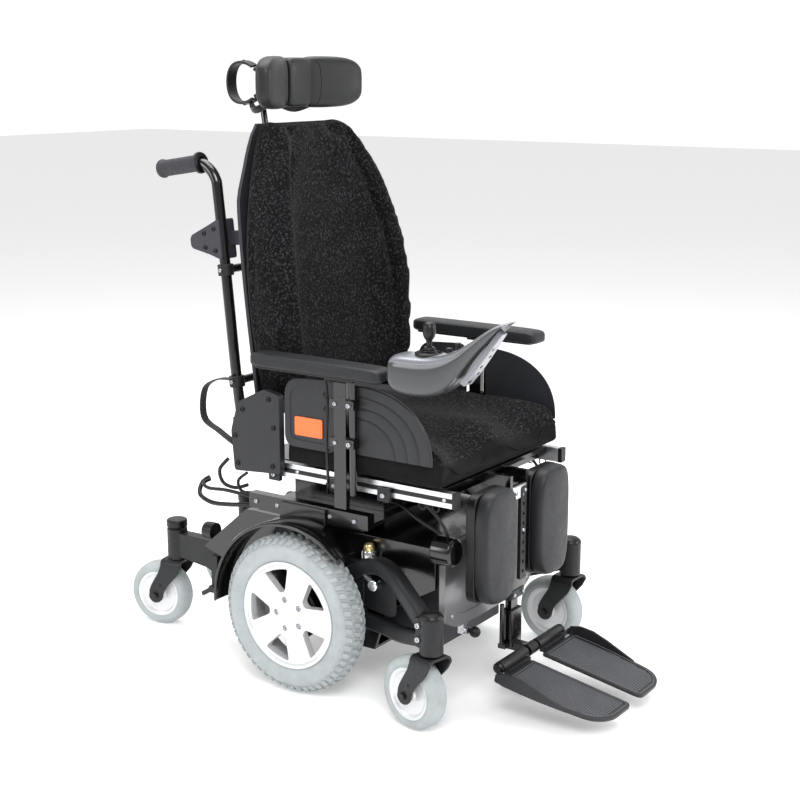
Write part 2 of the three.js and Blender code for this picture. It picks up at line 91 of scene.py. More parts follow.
def on_back(point):
    """A point given across, behind and up the leaning back, in millimetres from the drive axle."""
    x, behind, up = point
    return Vector((x, RECLINE_AT.y + behind * math.cos(LEAN) + up * math.sin(LEAN),
                   RECLINE_AT.z - behind * math.sin(LEAN) + up * math.cos(LEAN)))


def off_back(point):
    """The back's own coordinates of a point."""
    dy, dz = point.y - RECLINE_AT.y, point.z - RECLINE_AT.z
    return Vector((point.x, dy * math.cos(LEAN) - dz * math.sin(LEAN),
                   dy * math.sin(LEAN) + dz * math.cos(LEAN)))


# ---- colours ----
def linear(hex_colour):
    """An sRGB hex colour as linear red, green, blue and alpha."""
    channels = [int(hex_colour[i:i + 2], 16) / 255 for i in (1, 3, 5)]
    return [c / 12.92 if c <= 0.04045 else ((c + 0.055) / 1.055) ** 2.4 for c in channels] + [1.0]


def colour_property(name, description, hex_colour):
    return bpy.props.FloatVectorProperty(name=name, description=description, size=4, subtype="COLOR",
                                         min=0.0, max=1.0, default=linear(hex_colour))


class WheelchairColours(bpy.types.PropertyGroup):
    """The colours that a user would change."""
    frame: colour_property("Frame", "Gloss powder coat of the base and back tubes", "#070708")
    castings: colour_property("Castings", "Satin powder coat of the arms and forks", "#1A1B1D")
    panels: colour_property("Panels", "Moulded side panels and foot plates", "#222327")
    shell: colour_property("Back shell", "Moulded shell behind the back cushion", "#2E2E35")
    covers: colour_property("Battery cover", "Lacquered front cover", "#77777A")
    fabric: colour_property("Upholstery", "Looped cloth of the seat and the back", "#0B0B0C")
    pads: colour_property("Pads", "Skinned foam of the arm and calf pads", "#1E1F22")
    headrest: colour_property("Headrest", "Coated cloth of the head support", "#151618")
    tyres: colour_property("Tyres", "Non-marking rubber", "#A3A9AB")
    rims: colour_property("Rims", "Wheel lacquer", "#D3D4D6")
    pod: colour_property("Joystick", "Joystick pod lacquer", "#85888E")
    reflector: colour_property("Reflector", "Side reflector", "#FF6A10")


class WheelchairSizes(bpy.types.PropertyGroup):
    """The sizes that a user would change, in metres."""
    tread_depth: bpy.props.FloatProperty(name="Tread depth", description="Height of the tyre's knobs",
                                         default=4.6 * MM, min=1 * MM, max=8 * MM, unit="LENGTH")
    tread_knobs: bpy.props.IntProperty(name="Tread knobs",
                                       description="Knobs in each row around a drive tyre",
                                       default=54, min=20, max=90)
    seat_swell: bpy.props.FloatProperty(name="Seat swell",
                                        description="Most that the seat's foam may bulge",
                                        default=14 * MM, min=0.0, max=30 * MM, unit="LENGTH")
    back_swell: bpy.props.FloatProperty(name="Back swell",
                                        description="Most that the back's foam may bulge",
                                        default=12 * MM, min=0.0, max=30 * MM, unit="LENGTH")
    welt: bpy.props.FloatProperty(name="Welt", description="Radius of the sewn welt cord",
                                  default=1.7 * MM, min=0.5 * MM, max=5 * MM, unit="LENGTH")
    floor: bpy.props.FloatProperty(name="Floor", description="Width of the studio floor",
                                   default=40.0, min=4.0, max=40.0, unit="LENGTH")


# ---- materials ----
def add_node(material, kind, links=None, ramp=None, **settings):
    """Adds a node. links gives a socket another node's output, or a value."""
    node = material.node_tree.nodes.new(kind)
    for key, value in settings.items():
        setattr(node, key, value)
    for key, value in (links or {}).items():
        if isinstance(value, bpy.types.NodeSocket):
            material.node_tree.links.new(value, node.inputs[key])
        else:
            node.inputs[key].default_value = value
    if ramp:
        for i, (position, colour) in enumerate(ramp):
            stop = node.color_ramp.elements[i] if i < 2 else node.color_ramp.elements.new(position)
            stop.position = position
            stop.color = colour
    return node


def finish(name, **sockets):
    """A new material, its shader and the place of each surface point on its own part, in metres."""
    material = bpy.data.materials.new(name)
    material.use_nodes = True
    shader = material.node_tree.nodes["Principled BSDF"]
    for key, value in sockets.items():
        shader.inputs[key.replace("_", " ")].default_value = value
    place = add_node(material, "ShaderNodeTexCoord").outputs["Object"]
    return material, shader, place


def per_metre(size_mm):
    """The texture scale at which a pattern repeats about once in size_mm."""
    return 1000.0 / size_mm


def shade(colour, factor):
    """A linear colour made lighter or darker."""
    return [min(1.0, c * factor) for c in colour[:3]] + [1.0]


def wire(material, output, socket):
    material.node_tree.links.new(output, socket)


def speckle(material, place, size_mm, low, high, detail=3.0, colours=None):
    """Noise of one grain size. Returns its value from low to high, or its colour between two colours."""
    noise = add_node(material, "ShaderNodeTexNoise",
                     {"Vector": place, "Scale": per_metre(size_mm), "Detail": detail, "Roughness": 0.6})
    if colours:
        ramp = [(low, colours[0]), (high, colours[1])]
        return add_node(material, "ShaderNodeValToRGB", {"Fac": noise.outputs["Fac"]},
                        ramp).outputs["Color"]
    spread = add_node(material, "ShaderNodeMapRange",
                      {"Value": noise.outputs["Fac"], "From Min": 0.3, "From Max": 0.7, "To Min": low,
                       "To Max": high})
    return spread.outputs["Result"]


def relief(material, shader, height, depth_mm, strength=1.0, below=None):
    """Raises the surface by a height pattern."""
    links = {"Height": height, "Distance": depth_mm * MM, "Strength": strength}
    if below is not None:
        links["Normal"] = below
    bump = add_node(material, "ShaderNodeBump", links)
    wire(material, bump.outputs["Normal"], shader.inputs["Normal"])
    return bump.outputs["Normal"]


def coated(name, colour, roughness, grain_mm=2.5, depth_mm=0.05, spread=0.06, tone=0.12, **sockets):
    """A painted, lacquered or moulded surface: even colour with faint clouding, and the coat's own
    texture."""
    material, shader, place = finish(name, **sockets)
    clouds = speckle(material, place, 60, 0.35, 0.65,
                     colours=(shade(colour, 1 - tone), shade(colour, 1 + tone)))
    wire(material, clouds, shader.inputs["Base Color"])
    wire(material, speckle(material, place, 14, roughness - spread, roughness + spread),
         shader.inputs["Roughness"])
    relief(material, shader, speckle(material, place, grain_mm, 0.0, 1.0, detail=2.0), depth_mm)
    return material


def powder_coated_steel(colours):
    # Gloss powder coat on steel tube: black, wet looking, with the slight orange peel of baked powder.
    return coated("powder_coated_steel_gloss_black", colours.frame, 0.2, 3.0, 0.05, 0.05, IOR=1.5,
                  Coat_Weight=0.35,
                  Coat_Roughness=0.08)


def powder_coated_castings(colours):
    # Satin powder coat on cast aluminium: dry charcoal sheen, with a fine sand texture that breaks
    # highlights.
    return coated("powder_coated_aluminium_castings", colours.castings, 0.42, 1.8, 0.09, 0.08, IOR=1.5,
                  Specular_IOR_Level=0.35)


def moulded_abs(name, colour, roughness=0.46):
    # Injection moulded ABS with a spark-eroded grain: soft wide highlights and no mirror reflection.
    return coated(name, colour, roughness, 1.6, 0.08, 0.05, 0.07, IOR=1.53, Specular_IOR_Level=0.35)


def lacquered_abs(name, colour, metallic, roughness):
    # Metallic lacquer over ABS: aluminium flake lies under a clear coat, so edges catch a bright line.
    material, shader, place = finish(name, Metallic=metallic, IOR=1.5, Coat_Weight=0.6, Coat_Roughness=0.12)
    # Real flake is 0.03 mm across; it is drawn at 1.5 mm so that it shows.
    flake = speckle(material, place, 1.5, 0.3, 0.7, colours=(shade(colour, 0.88), shade(colour, 1.12)))
    wire(material, flake, shader.inputs["Base Color"])
    wire(material, speckle(material, place, 25, roughness - 0.05, roughness + 0.05),
         shader.inputs["Roughness"])
    relief(material, shader, speckle(material, place, 5, 0.0, 1.0), 0.03)
    return material


def looped_upholstery(colours):
    # Looped polyester upholstery: matt black loops, with painted highlights on single loop tips
    # that speckle the face of the cloth.
    material, shader, place = finish("looped_polyester_upholstery", Roughness=0.95, IOR=1.5,
                                     Specular_IOR_Level=0.1,
                                     Sheen_Weight=0.03, Sheen_Roughness=0.45)
    # The real loops are 2 mm apart; they are drawn 3.6 mm apart so that they show.
    loops = add_node(material, "ShaderNodeTexVoronoi",
                     {"Vector": place, "Scale": per_metre(3.6), "Randomness": 0.9})
    # Painted highlight: lighter curls, about 5 mm long, where single loops catch light.
    painted_glints = speckle(material, place, 5.0, 0.5, 0.66, 7.0,
                   (shade(colours.fabric, 0.9), shade(colours.fabric, 24)))
    wear = speckle(material, place, 90, 0.3, 0.75, 2.0,
                   (shade(colours.fabric, 0.6), shade(colours.fabric, 2.4)))
    mixed = add_node(material, "ShaderNodeMix", {0: 0.4, 6: wear, 7: painted_glints}, data_type="RGBA")
    wire(material, mixed.outputs[2], shader.inputs["Base Color"])
    fibres = relief(material, shader, speckle(material, place, 1.6, 0.0, 1.0, 4.0), 0.4, 0.7)
    relief(material, shader, loops.outputs["Distance"], 0.9, 0.8, fibres)
    return material


def brushed_nylon_side_cloth(colours):
    # Flat brushed knit on the cushion's sides: smoother and a little greyer than the looped face.
    material, shader, place = finish("brushed_knit_side_cloth", Roughness=0.9, IOR=1.5,
                                     Specular_IOR_Level=0.1,
                                     Sheen_Weight=0.03, Sheen_Roughness=0.4)
    wear = speckle(material, place, 70, 0.3, 0.7, 3.0,
                   (shade(colours.fabric, 1.6), shade(colours.fabric, 2.8)))
    wire(material, wear, shader.inputs["Base Color"])
    # The knit's ribs are 1 mm apart; they are drawn 2.2 mm apart so that they show.
    ribs = add_node(material, "ShaderNodeTexWave", {"Vector": place, "Scale": per_metre(2.2) / 6.3,
                                                    "Distortion": 1.5, "Detail": 2.0}, bands_direction="Z")
    fibres = relief(material, shader, speckle(material, place, 1.8, 0.0, 1.0, 4.0), 0.25, 0.6)
    relief(material, shader, ribs.outputs["Fac"], 0.25, 0.5, fibres)
    return material


def coated_cloth(colours):
    # Polyurethane coated cloth stretched on foam: leather grain, satin sheen that brightens at
    # grazing angles.
    material, shader, place = finish("polyurethane_coated_cloth", IOR=1.5, Specular_IOR_Level=0.4,
                                     Sheen_Weight=0.04,
                                     Sheen_Roughness=0.5)
    tone = speckle(material, place, 80, 0.3, 0.7,
                   colours=(shade(colours.headrest, 0.88), shade(colours.headrest, 1.1)))
    wire(material, tone, shader.inputs["Base Color"])
    wire(material, speckle(material, place, 20, 0.42, 0.54), shader.inputs["Roughness"])
    # Leather grain cells are 1 mm; they are drawn at 2 mm so that they show.
    grain = add_node(material, "ShaderNodeTexVoronoi", {"Vector": place, "Scale": per_metre(2.0)},
                     feature="DISTANCE_TO_EDGE")
    relief(material, shader, grain.outputs["Distance"], 0.12, 0.5)
    return material


def skinned_foam(colours):
    # Self-skinned polyurethane foam: rubbery and dark, with a faint pebble from the mould.
    return coated("self_skinned_polyurethane_foam", colours.pads, 0.48, 2.2, 0.12, 0.06, 0.08, IOR=1.48,
                  Specular_IOR_Level=0.35)


def tyre_rubber(colours):
    # Non-marking rubber: dry and chalky, with dust in its low places.
    material, shader, place = finish("non_marking_tyre_rubber", Roughness=0.82, IOR=1.52)
    clouds = speckle(material, place, 35, 0.3, 0.7, 5.0,
                     (shade(colours.tyres, 0.86), shade(colours.tyres, 1.08)))
    wire(material, clouds, shader.inputs["Base Color"])
    relief(material, shader, speckle(material, place, 2.2, 0.0, 1.0, 4.0), 0.12)
    return material


def brushed_aluminium():
    # Bright anodised aluminium extrusion: fine drawing lines along the length stretch each highlight.
    material, shader, place = finish("bright_anodised_aluminium", Metallic=1.0)
    shader.inputs["Base Color"].default_value = linear("#D4D6D9")
    along = add_node(material, "ShaderNodeMapping",
                     {"Vector": place, "Scale": (1.0, 0.02, 1.0)}).outputs["Vector"]
    lines = speckle(material, along, 0.9, 0.0, 1.0, 4.0)
    wire(material, speckle(material, along, 1.2, 0.24, 0.4, 4.0), shader.inputs["Roughness"])
    relief(material, shader, lines, 0.02, 0.5)
    return material


def bright_metal(name, hex_colour, roughness, depth_mm):
    # Plated steel: chrome mirrors the room, zinc is duller and slightly mottled by its passivation.
    material, shader, place = finish(name, Metallic=1.0)
    tone = linear(hex_colour)
    wire(material, speckle(material, place, 8, 0.3, 0.7, colours=(shade(tone, 0.85), shade(tone, 1.05))),
         shader.inputs["Base Color"])
    wire(material, speckle(material, place, 6, roughness * 0.7, roughness * 1.3),
         shader.inputs["Roughness"])
    relief(material, shader, speckle(material, place, 2, 0.0, 1.0), depth_mm)
    return material


def acrylic_reflector(colours):
    # Moulded acrylic retroreflector: a glossy face over a grid of corner prisms, with their light return painted
    # into the orange.
    material, shader, place = finish("moulded_acrylic_reflector", Roughness=0.12, IOR=1.49, Coat_Weight=0.5)
    # Prisms are 2 mm; they are drawn at 4 mm so that they show.
    prisms = add_node(material, "ShaderNodeTexVoronoi",
                      {"Vector": place, "Scale": per_metre(4), "Randomness": 0.0},
                      distance="CHEBYCHEV")
    # Painted light and shade: each prism is lighter orange at its centre and darker at its edges.
    painted_prism_light = add_node(material, "ShaderNodeValToRGB", {"Fac": prisms.outputs["Distance"]},
                    [(0.0, shade(colours.reflector, 1.25)), (0.6, shade(colours.reflector, 0.72))])
    wire(material, painted_prism_light.outputs["Color"], shader.inputs["Base Color"])
    relief(material, shader, prisms.outputs["Distance"], 0.3, 0.5)
    return material


def woven_webbing():
    # Woven polypropylene webbing: matt black with a ribbed herringbone face.
    material, shader, place = finish("woven_polypropylene_webbing", Roughness=0.7, IOR=1.49,
                                     Sheen_Weight=0.1)
    weave = add_node(material, "ShaderNodeTexWave", {"Vector": place, "Scale": per_metre(2.4) / 6.3,
                                                     "Distortion": 0.6}, bands_direction="DIAGONAL")
    ramp = [(0.2, linear("#0E0E10")), (0.8, linear("#2A2A2D"))]
    tone = add_node(material, "ShaderNodeValToRGB", {"Fac": weave.outputs["Fac"]}, ramp)
    wire(material, tone.outputs["Color"], shader.inputs["Base Color"])
    relief(material, shader, weave.outputs["Fac"], 0.4, 0.8)
    return material


def liquid_crystal_window():
    # Smoked acrylic display window: black and mirror smooth over a faint cell grid.
    material, shader, place = finish("smoked_acrylic_window", Roughness=0.06, IOR=1.49, Coat_Weight=1.0)
    cells = add_node(material, "ShaderNodeTexChecker", {"Vector": place, "Scale": per_metre(3),
                                                        "Color1": linear("#101215"),
                                                        "Color2": linear("#15181C")})
    wire(material, cells.outputs["Color"], shader.inputs["Base Color"])
    return material


def all_materials():
    """Every finish by the short name that the pieces use."""
    c = bpy.context.scene.wheelchair_colours
    return {
        "frame": powder_coated_steel(c),
        "casting": powder_coated_castings(c),
        "panel": moulded_abs("moulded_abs_charcoal", c.panels),
        "shell": moulded_abs("moulded_abs_grey", c.shell, 0.5),
        "nylon": moulded_abs("moulded_nylon_black", linear("#0A0A0B"), 0.38),
        # Lighter grey for the foot plates' stud tops and edge line: partly wear, partly painted highlight.
        "worn": moulded_abs("moulded_abs_wear_and_highlight", linear("#5B5C61"), 0.5),
        "grip": moulded_abs("moulded_grip_rubber", linear("#303035"), 0.62),
        "jacket": moulded_abs("extruded_pvc_cable_jacket", linear("#09090A"), 0.4),
        "cover": lacquered_abs("metallic_lacquer_cover_grey", c.covers, 0.55, 0.36),
        "pod": lacquered_abs("metallic_lacquer_pod_silver", c.pod, 0.6, 0.34),
        "pod_low": lacquered_abs("metallic_lacquer_pod_graphite", shade(c.pod, 0.2), 0.5, 0.38),
        "rim": lacquered_abs("silver_lacquered_wheel", c.rims, 0.25, 0.34),
        "fabric": looped_upholstery(c),
        "side": brushed_nylon_side_cloth(c),
        "headrest": coated_cloth(c),
        "foam": skinned_foam(c),
        "tyre": tyre_rubber(c),
        "aluminium": brushed_aluminium(),
        "chrome": bright_metal("chrome_plated_steel", "#DFE1E4", 0.1, 0.0),
        "zinc": bright_metal("zinc_plated_steel", "#B9BCC0", 0.3, 0.02),
        "brass": bright_metal("yellow_passivated_steel", "#D8C48A", 0.32, 0.02),
        "reflector": acrylic_reflector(c),
        "webbing": woven_webbing(),
        "window": liquid_crystal_window(),
    }


MATERIALS = {}


# ---- outlines and curves ----
def rounded(points, radius=0.0, steps=5):
    """A flat outline whose corners are rounded by radius, or by a point's own third number."""
    result = []
    count = len(points)
    for i, point in enumerate(points):
        corner = Vector(point[:2])
        before = Vector(points[i - 1][:2]) - corner
        after = Vector(points[(i + 1) % count][:2]) - corner
        r = min(point[2] if len(point) > 2 else radius, before.length / 2.01, after.length / 2.01)
        if r <= 0:
            result.append(corner)
            continue
        start, end = corner + before.normalized() * r, corner + after.normalized() * r
        for k in range(steps + 1):
            t = k / steps
            result.append(start * (1 - t) ** 2 + corner * 2 * t * (1 - t) + end * t ** 2)
    return result


def smooth_line(points, steps=8, closed=False):
    """A smooth line through the points, with this many steps from each to the next."""
    at = [Vector(p) for p in points]
    count = len(at)
    spans = count if closed else count - 1
    line = []
    for i in range(spans):
        if closed:
            p0, p1, p2, p3 = (at[(i + k - 1) % count] for k in range(4))
        else:
            p0, p1, p2, p3 = at[max(i - 1, 0)], at[i], at[i + 1], at[min(i + 2, count - 1)]
        for k in range(steps):
            t = k / steps
            line.append(0.5 * (2 * p1 + (p2 - p0) * t + (2 * p0 - 5 * p1 + 4 * p2 - p3) * t ** 2
                               + (3 * p1 - p0 - 3 * p2 + p3) * t ** 3))
    return line if closed else line + [at[-1]]


def even_loop(points, count):
    """A closed loop with its points spread evenly."""
    at = [Vector(p) for p in points]
    lengths = [0.0]
    for i, p in enumerate(at):
        lengths.append(lengths[-1] + (at[(i + 1) % len(at)] - p).length)
    result = []
    span = 0
    for k in range(count):
        want = lengths[-1] * k / count
        while lengths[span + 1] < want:
            span += 1
        share = (want - lengths[span]) / (lengths[span + 1] - lengths[span])
        result.append(at[span].lerp(at[(span + 1) % len(at)], share))
    return result


def arc(radius, start_deg, end_deg, steps, centre=(0.0, 0.0)):
    """Points on an arc, as pairs."""
    angles = [math.radians(start_deg + (end_deg - start_deg) * k / steps) for k in range(steps + 1)]
    return [(centre[0] + radius * math.cos(a), centre[1] + radius * math.sin(a)) for a in angles]


def soft_box(half_u, half_v, power=4.0, count=24):
    """A section between an ellipse (power 2) and a box (high power)."""
    section = []
    for k in range(count):
        a = 2 * math.pi * (k + 0.5) / count
        c, s = math.cos(a), math.sin(a)
        section.append((half_u * math.copysign(abs(c) ** (2 / power), c),
                        half_v * math.copysign(abs(s) ** (2 / power), s)))
    return section


def between(table, at):
    """Reads a table of (position, value, ...) rows at a position, on a smooth curve through the rows."""
    rows = sorted(table)
    if at <= rows[0][0]:
        return rows[0][1:]
    if at >= rows[-1][0]:
        return rows[-1][1:]
    k = max(i for i, row in enumerate(rows[:-1]) if row[0] <= at)
    low, high = rows[k], rows[k + 1]
    span = high[0] - low[0]
    t = (at - low[0]) / span

    def slope(i, column):
        before, after = rows[max(i - 1, 0)], rows[min(i + 1, len(rows) - 1)]
        return (after[column] - before[column]) / (after[0] - before[0])

    result = []
    for column in range(1, len(low)):
        a, b = low[column], high[column]
        result.append((2 * t ** 3 - 3 * t ** 2 + 1) * a + (t ** 3 - 2 * t ** 2 + t) * span * slope(k,
                                                                                                   column)
                      + (3 * t ** 2 - 2 * t ** 3) * b + (t ** 3 - t ** 2) * span * slope(k + 1, column))
    return tuple(result)


AXES = {"x": (1, 2, 0), "y": (0, 2, 1), "z": (0, 1, 2)}


def on_axis(axis, u, v, along):
    """A point from its two cross coordinates, in their X, Y, Z order, and its place along an axis."""
    first, second, third = AXES[axis]
    point = Vector()
    point[first], point[second], point[third] = u, v, along
    return point


class Form:
    """A mesh in the making, in millimetres from the drive axle."""

    def __init__(self):
        self.points = []
        self.faces = []

    def skin(self, rings, wrap=True, ends=True):
        """Joins rings of equal length, and closes the first and last."""
        start, count = len(self.points), len(rings[0])
        for ring in rings:
            self.points.extend(Vector(p) for p in ring)
        for r in range(len(rings) - 1):
            near, far = start + r * count, start + (r + 1) * count
            for i in range(count if wrap else count - 1):
                j = (i + 1) % count
                self.faces.append((near + i, near + j, far + j, far + i))
        if ends:
            last = start + (len(rings) - 1) * count
            self.faces.append(tuple(range(start, start + count)))
            self.faces.append(tuple(range(last, last + count)))
        return self

    def turned(self, profile, centre, axis="x", segs=32, hollow=False):
        """Turns (radius, along) pairs about an axis through centre. A hollow profile closes on itself."""
        pairs = list(profile) + ([profile[0]] if hollow else [])
        turns = [2 * math.pi * i / segs for i in range(segs)]
        rings = [[Vector(centre) + on_axis(axis, r * math.cos(a), r * math.sin(a), along) for a in turns]
                 for r, along in pairs]
        return self.skin(rings, ends=not hollow)

    def swept(self, path, radius=None, section=None, steps=8, segs=14, up=None, smooth=True, ends=True):
        """Sweeps a round section, or one of its own, along a smooth line."""
        line = smooth_line(path, steps) if smooth else [Vector(p) for p in path]
        shape = section or soft_box(radius, radius, 2.0, segs)
        side = None
        rings = []
        for i, point in enumerate(line):
            along = (line[min(i + 1, len(line) - 1)] - line[max(i - 1, 0)]).normalized()
            if side is None:
                side = Vector(up).cross(along) if up else along.orthogonal()
            side = (side - along * side.dot(along)).normalized()
            other = along.cross(side)
            rings.append([point + side * u + other * v for u, v in shape])
        return self.skin(rings, ends=ends)

    def prism(self, outline, axis, low, high):
        """A flat outline drawn out along an axis."""
        return self.skin([[on_axis(axis, p[0], p[1], along) for p in outline] for along in (low, high)])

    def box(self, x0, x1, y0, y1, z0, z1):
        return self.prism([(x0, y0), (x1, y0), (x1, y1), (x0, y1)], "z", z0, z1)

    def mapped(self, change):
        self.points = [change(p) for p in self.points]
        return self

    def mirrored(self, sign=-1):
        """The same form on the other side when sign is -1."""
        return self.mapped(lambda p: Vector((p.x * sign, p.y, p.z)))

    def join(self, other):
        start = len(self.points)
        self.points += other.points
        self.faces += [tuple(i + start for i in face) for face in other.faces]
        return self

    def bolt(self, at, towards, radius, height=None, segs=16):
        """A button head screw with a socket, seated at a point and facing a direction."""
        height = height or radius * 0.7
        profile = [(0, height * 0.45), (radius * 0.42, height * 0.45), (radius * 0.48, height),
                   (radius * 0.8, height),
                   (radius, height * 0.55), (radius, -0.5), (0, -0.5)]
        head = Form().turned(profile, (0, 0, 0), "z", segs)
        turn = Vector((0, 0, 1)).rotation_difference(Vector(towards)).to_matrix()
        return self.join(head.mapped(lambda p: turn @ p + Vector(at)))


# ---- objects ----
def clean(mesh, flat_deg=None):
    """Merges doubled points, dissolves flat triangles if asked, and turns every face outwards."""
    bm = bmesh.new()
    bm.from_mesh(mesh)
    bmesh.ops.remove_doubles(bm, verts=bm.verts, dist=0.002 * MM)
    bmesh.ops.dissolve_degenerate(bm, dist=0.001 * MM, edges=bm.edges)
    if flat_deg:
        bmesh.ops.dissolve_limit(bm, angle_limit=math.radians(flat_deg), verts=bm.verts, edges=bm.edges)
    bmesh.ops.recalc_face_normals(bm, faces=bm.faces)
    bm.to_mesh(mesh)
    bm.free()
    if "custom_normal" in mesh.attributes:
        mesh.attributes.remove(mesh.attributes["custom_normal"])


def dressed(obj, finish_name, bevel=0.0, levels=0, sharp_deg=38, segments=2):
    """Gives an object its finish, smooth shading, rounded edges (in mm) and subdivision."""
    mesh = obj.data
    mesh.materials.clear()
    for key in [finish_name] if isinstance(finish_name, str) else finish_name:
        mesh.materials.append(MATERIALS[key])
    mesh.polygons.foreach_set("use_smooth", [True] * len(mesh.polygons))
    if not levels:
        mesh.set_sharp_from_angle(angle=math.radians(sharp_deg))
    if bevel:
        edge = obj.modifiers.new("rounded edges", "BEVEL")
        edge.width = bevel * MM
        edge.segments = segments
        edge.limit_method = "ANGLE"
        edge.angle_limit = math.radians(sharp_deg)
        edge.use_clamp_overlap = True
        edge.harden_normals = not levels
    if levels:
        fine = obj.modifiers.new("subdivision", "SUBSURF")
        fine.levels = fine.render_levels = levels
    return obj


def piece(name, form, body, finish_name, bevel=0.0, levels=0, sharp_deg=38, replaces=(), segments=2):
    """Makes an object from a form, and fixes it to the body it moves with."""
    mesh = bpy.data.meshes.new(name)
    mesh.from_pydata([to_frame(p) for p in form.points], [], form.faces)
    clean(mesh)
    obj = bpy.data.objects.new(name, mesh)
    bpy.context.scene.collection.objects.link(obj)
    dressed(obj, finish_name, bevel, levels, sharp_deg, segments)
    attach(obj, body)
    if replaces:
        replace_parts(obj, *replaces)
    return obj


def refined(node, finish_name, bevel=1.0, sharp_deg=30):
    """A copy of a frame part with its flat triangles joined and its edges rounded, in place of the
    plain one."""
    mesh = bpy.data.meshes.new(node + "_fine")
    bm = bmesh.new()
    bm.from_mesh(frame["nodes"][node].data)
    bm.to_mesh(mesh)
    bm.free()
    clean(mesh, flat_deg=1.5)
    obj = bpy.data.objects.new(node + "_fine", mesh)
    bpy.context.scene.collection.objects.link(obj)
    dressed(obj, finish_name, bevel, 0, sharp_deg)
    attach(obj, BODY_OF[node])
    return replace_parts(obj, node)


def settled(obj):
    """The object's mesh with its modifiers applied."""
    bpy.context.view_layer.update()
    mesh = bpy.data.meshes.new_from_object(obj.evaluated_get(bpy.context.evaluated_depsgraph_get()))
    obj.modifiers.clear()
    obj.data = mesh
    return obj


def carved(obj, cutter_form):
    """Cuts a form out of an object."""
    mesh = bpy.data.meshes.new("cutter")
    mesh.from_pydata([to_frame(p) for p in cutter_form.points], [], cutter_form.faces)
    clean(mesh)
    cutter = bpy.data.objects.new("cutter", mesh)
    bpy.context.scene.collection.objects.link(cutter)
    cut = obj.modifiers.new("cut", "BOOLEAN")
    cut.operation = "DIFFERENCE"
    cut.solver = "EXACT"
    cut.object = cutter
    while obj.modifiers[0] != cut:
        obj.modifiers.move(len(obj.modifiers) - 1, 0)
    kept = [m for m in obj.modifiers if m != cut]
    settings = [(m.name, m.type, {k: getattr(m, k) for k in MODIFIER_KEYS.get(m.type, ())}) for m in kept]
    for m in kept:
        obj.modifiers.remove(m)
    settled(obj)
    bpy.data.objects.remove(cutter)
    clean(obj.data)
    obj.data.polygons.foreach_set("use_smooth", [True] * len(obj.data.polygons))
    obj.data.set_sharp_from_angle(angle=math.radians(38))
    for name, kind, values in settings:
        modifier = obj.modifiers.new(name, kind)
        for key, value in values.items():
            setattr(modifier, key, value)
    return obj


MODIFIER_KEYS = {
    "BEVEL": ("width", "segments", "limit_method", "angle_limit", "use_clamp_overlap", "harden_normals"),
    "SUBSURF": ("levels", "render_levels"),
}


def swollen(obj, cap_mm, voxel_mm=6.0, pressure=4.0, frames=20, held=None):
    """Blows up a pad's skin as cloth over foam, holds the points that held() picks, and caps the swell."""
    grid = obj.modifiers.new("even skin", "REMESH")
    grid.mode = "VOXEL"
    grid.voxel_size = voxel_mm * MM
    settled(obj)
    relax = obj.modifiers.new("relax", "SMOOTH")
    relax.iterations = 4
    settled(obj)
    start = [v.co.copy() for v in obj.data.vertices]
    fixed = obj.vertex_groups.new(name="fixed")
    if held:
        fixed.add([i for i, co in enumerate(start) if held(from_frame(co))], 1.0, "REPLACE")
    cloth = obj.modifiers.new("cloth", "CLOTH")
    settings = cloth.settings
    settings.quality = 4
    settings.mass = 0.25
    settings.use_pressure = True
    settings.uniform_pressure_force = pressure
    settings.effector_weights.gravity = 0.0
    settings.tension_stiffness = settings.compression_stiffness = 12
    settings.bending_stiffness = 0.6
    settings.vertex_group_mass = "fixed"
    cloth.point_cache.frame_start = 1
    cloth.point_cache.frame_end = frames
    scene = bpy.context.scene
    for number in range(1, frames + 1):
        scene.frame_set(number)
    settled(obj)
    scene.frame_set(1)
    obj.vertex_groups.clear()
    for vertex, before in zip(obj.data.vertices, start):
        move = vertex.co - before
        if move.length > cap_mm * MM:
            vertex.co = before + move.normalized() * cap_mm * MM
    even = obj.modifiers.new("relax", "SMOOTH")
    even.iterations = 3
    settled(obj)
    obj.data.polygons.foreach_set("use_smooth", [True] * len(obj.data.polygons))
    fine = obj.modifiers.new("subdivision", "SUBSURF")
    fine.levels = fine.render_levels = 1
    return obj


def creased(obj, line, width_mm, depth_mm):
    """Presses a soft valley into a padded surface along a line."""
    spots = smooth_line([to_frame(point) for point in line], 12)
    tree = KDTree(len(spots))
    for i, spot in enumerate(spots):
        tree.insert(spot, i)
    tree.balance()
    normals = [Vector(n.vector) for n in obj.data.vertex_normals]
    for vertex, normal in zip(obj.data.vertices, normals):
        distance = tree.find(vertex.co)[2] / MM
        if distance < width_mm * 2.5:
            vertex.co -= normal * depth_mm * MM * math.exp(-(distance / width_mm) ** 2)
    return obj


def skin_tree(obj):
    """A search tree over the object's finished surface."""
    return BVHTree.FromObject(obj, bpy.context.evaluated_depsgraph_get())


def laid_on(tree, points, lift_mm=0.5):
    """The points moved to the nearest place on a surface, in millimetres from the drive axle."""
    result = []
    for point in points:
        place, normal, _, _ = tree.find_nearest(to_frame(point))
        result.append(from_frame(place + normal * lift_mm * MM))
    return result


# ---- drive wheels ----
WHEEL_SPOKES = 5
SPOKE_PHASE = 36


def tyre_surface(across, turn, radius, lift):
    """A point on the tyre's round shoulder: across from -1 to 1, turn in radians, lift above the
    carcass."""
    bend = across * math.radians(62)
    crown = 27.0
    r = radius - 27.5 + (crown + lift) * math.cos(bend)
    along = (crown + 6.5 + lift) * math.sin(bend)
    return Vector((along, -r * math.cos(turn), r * math.sin(turn)))


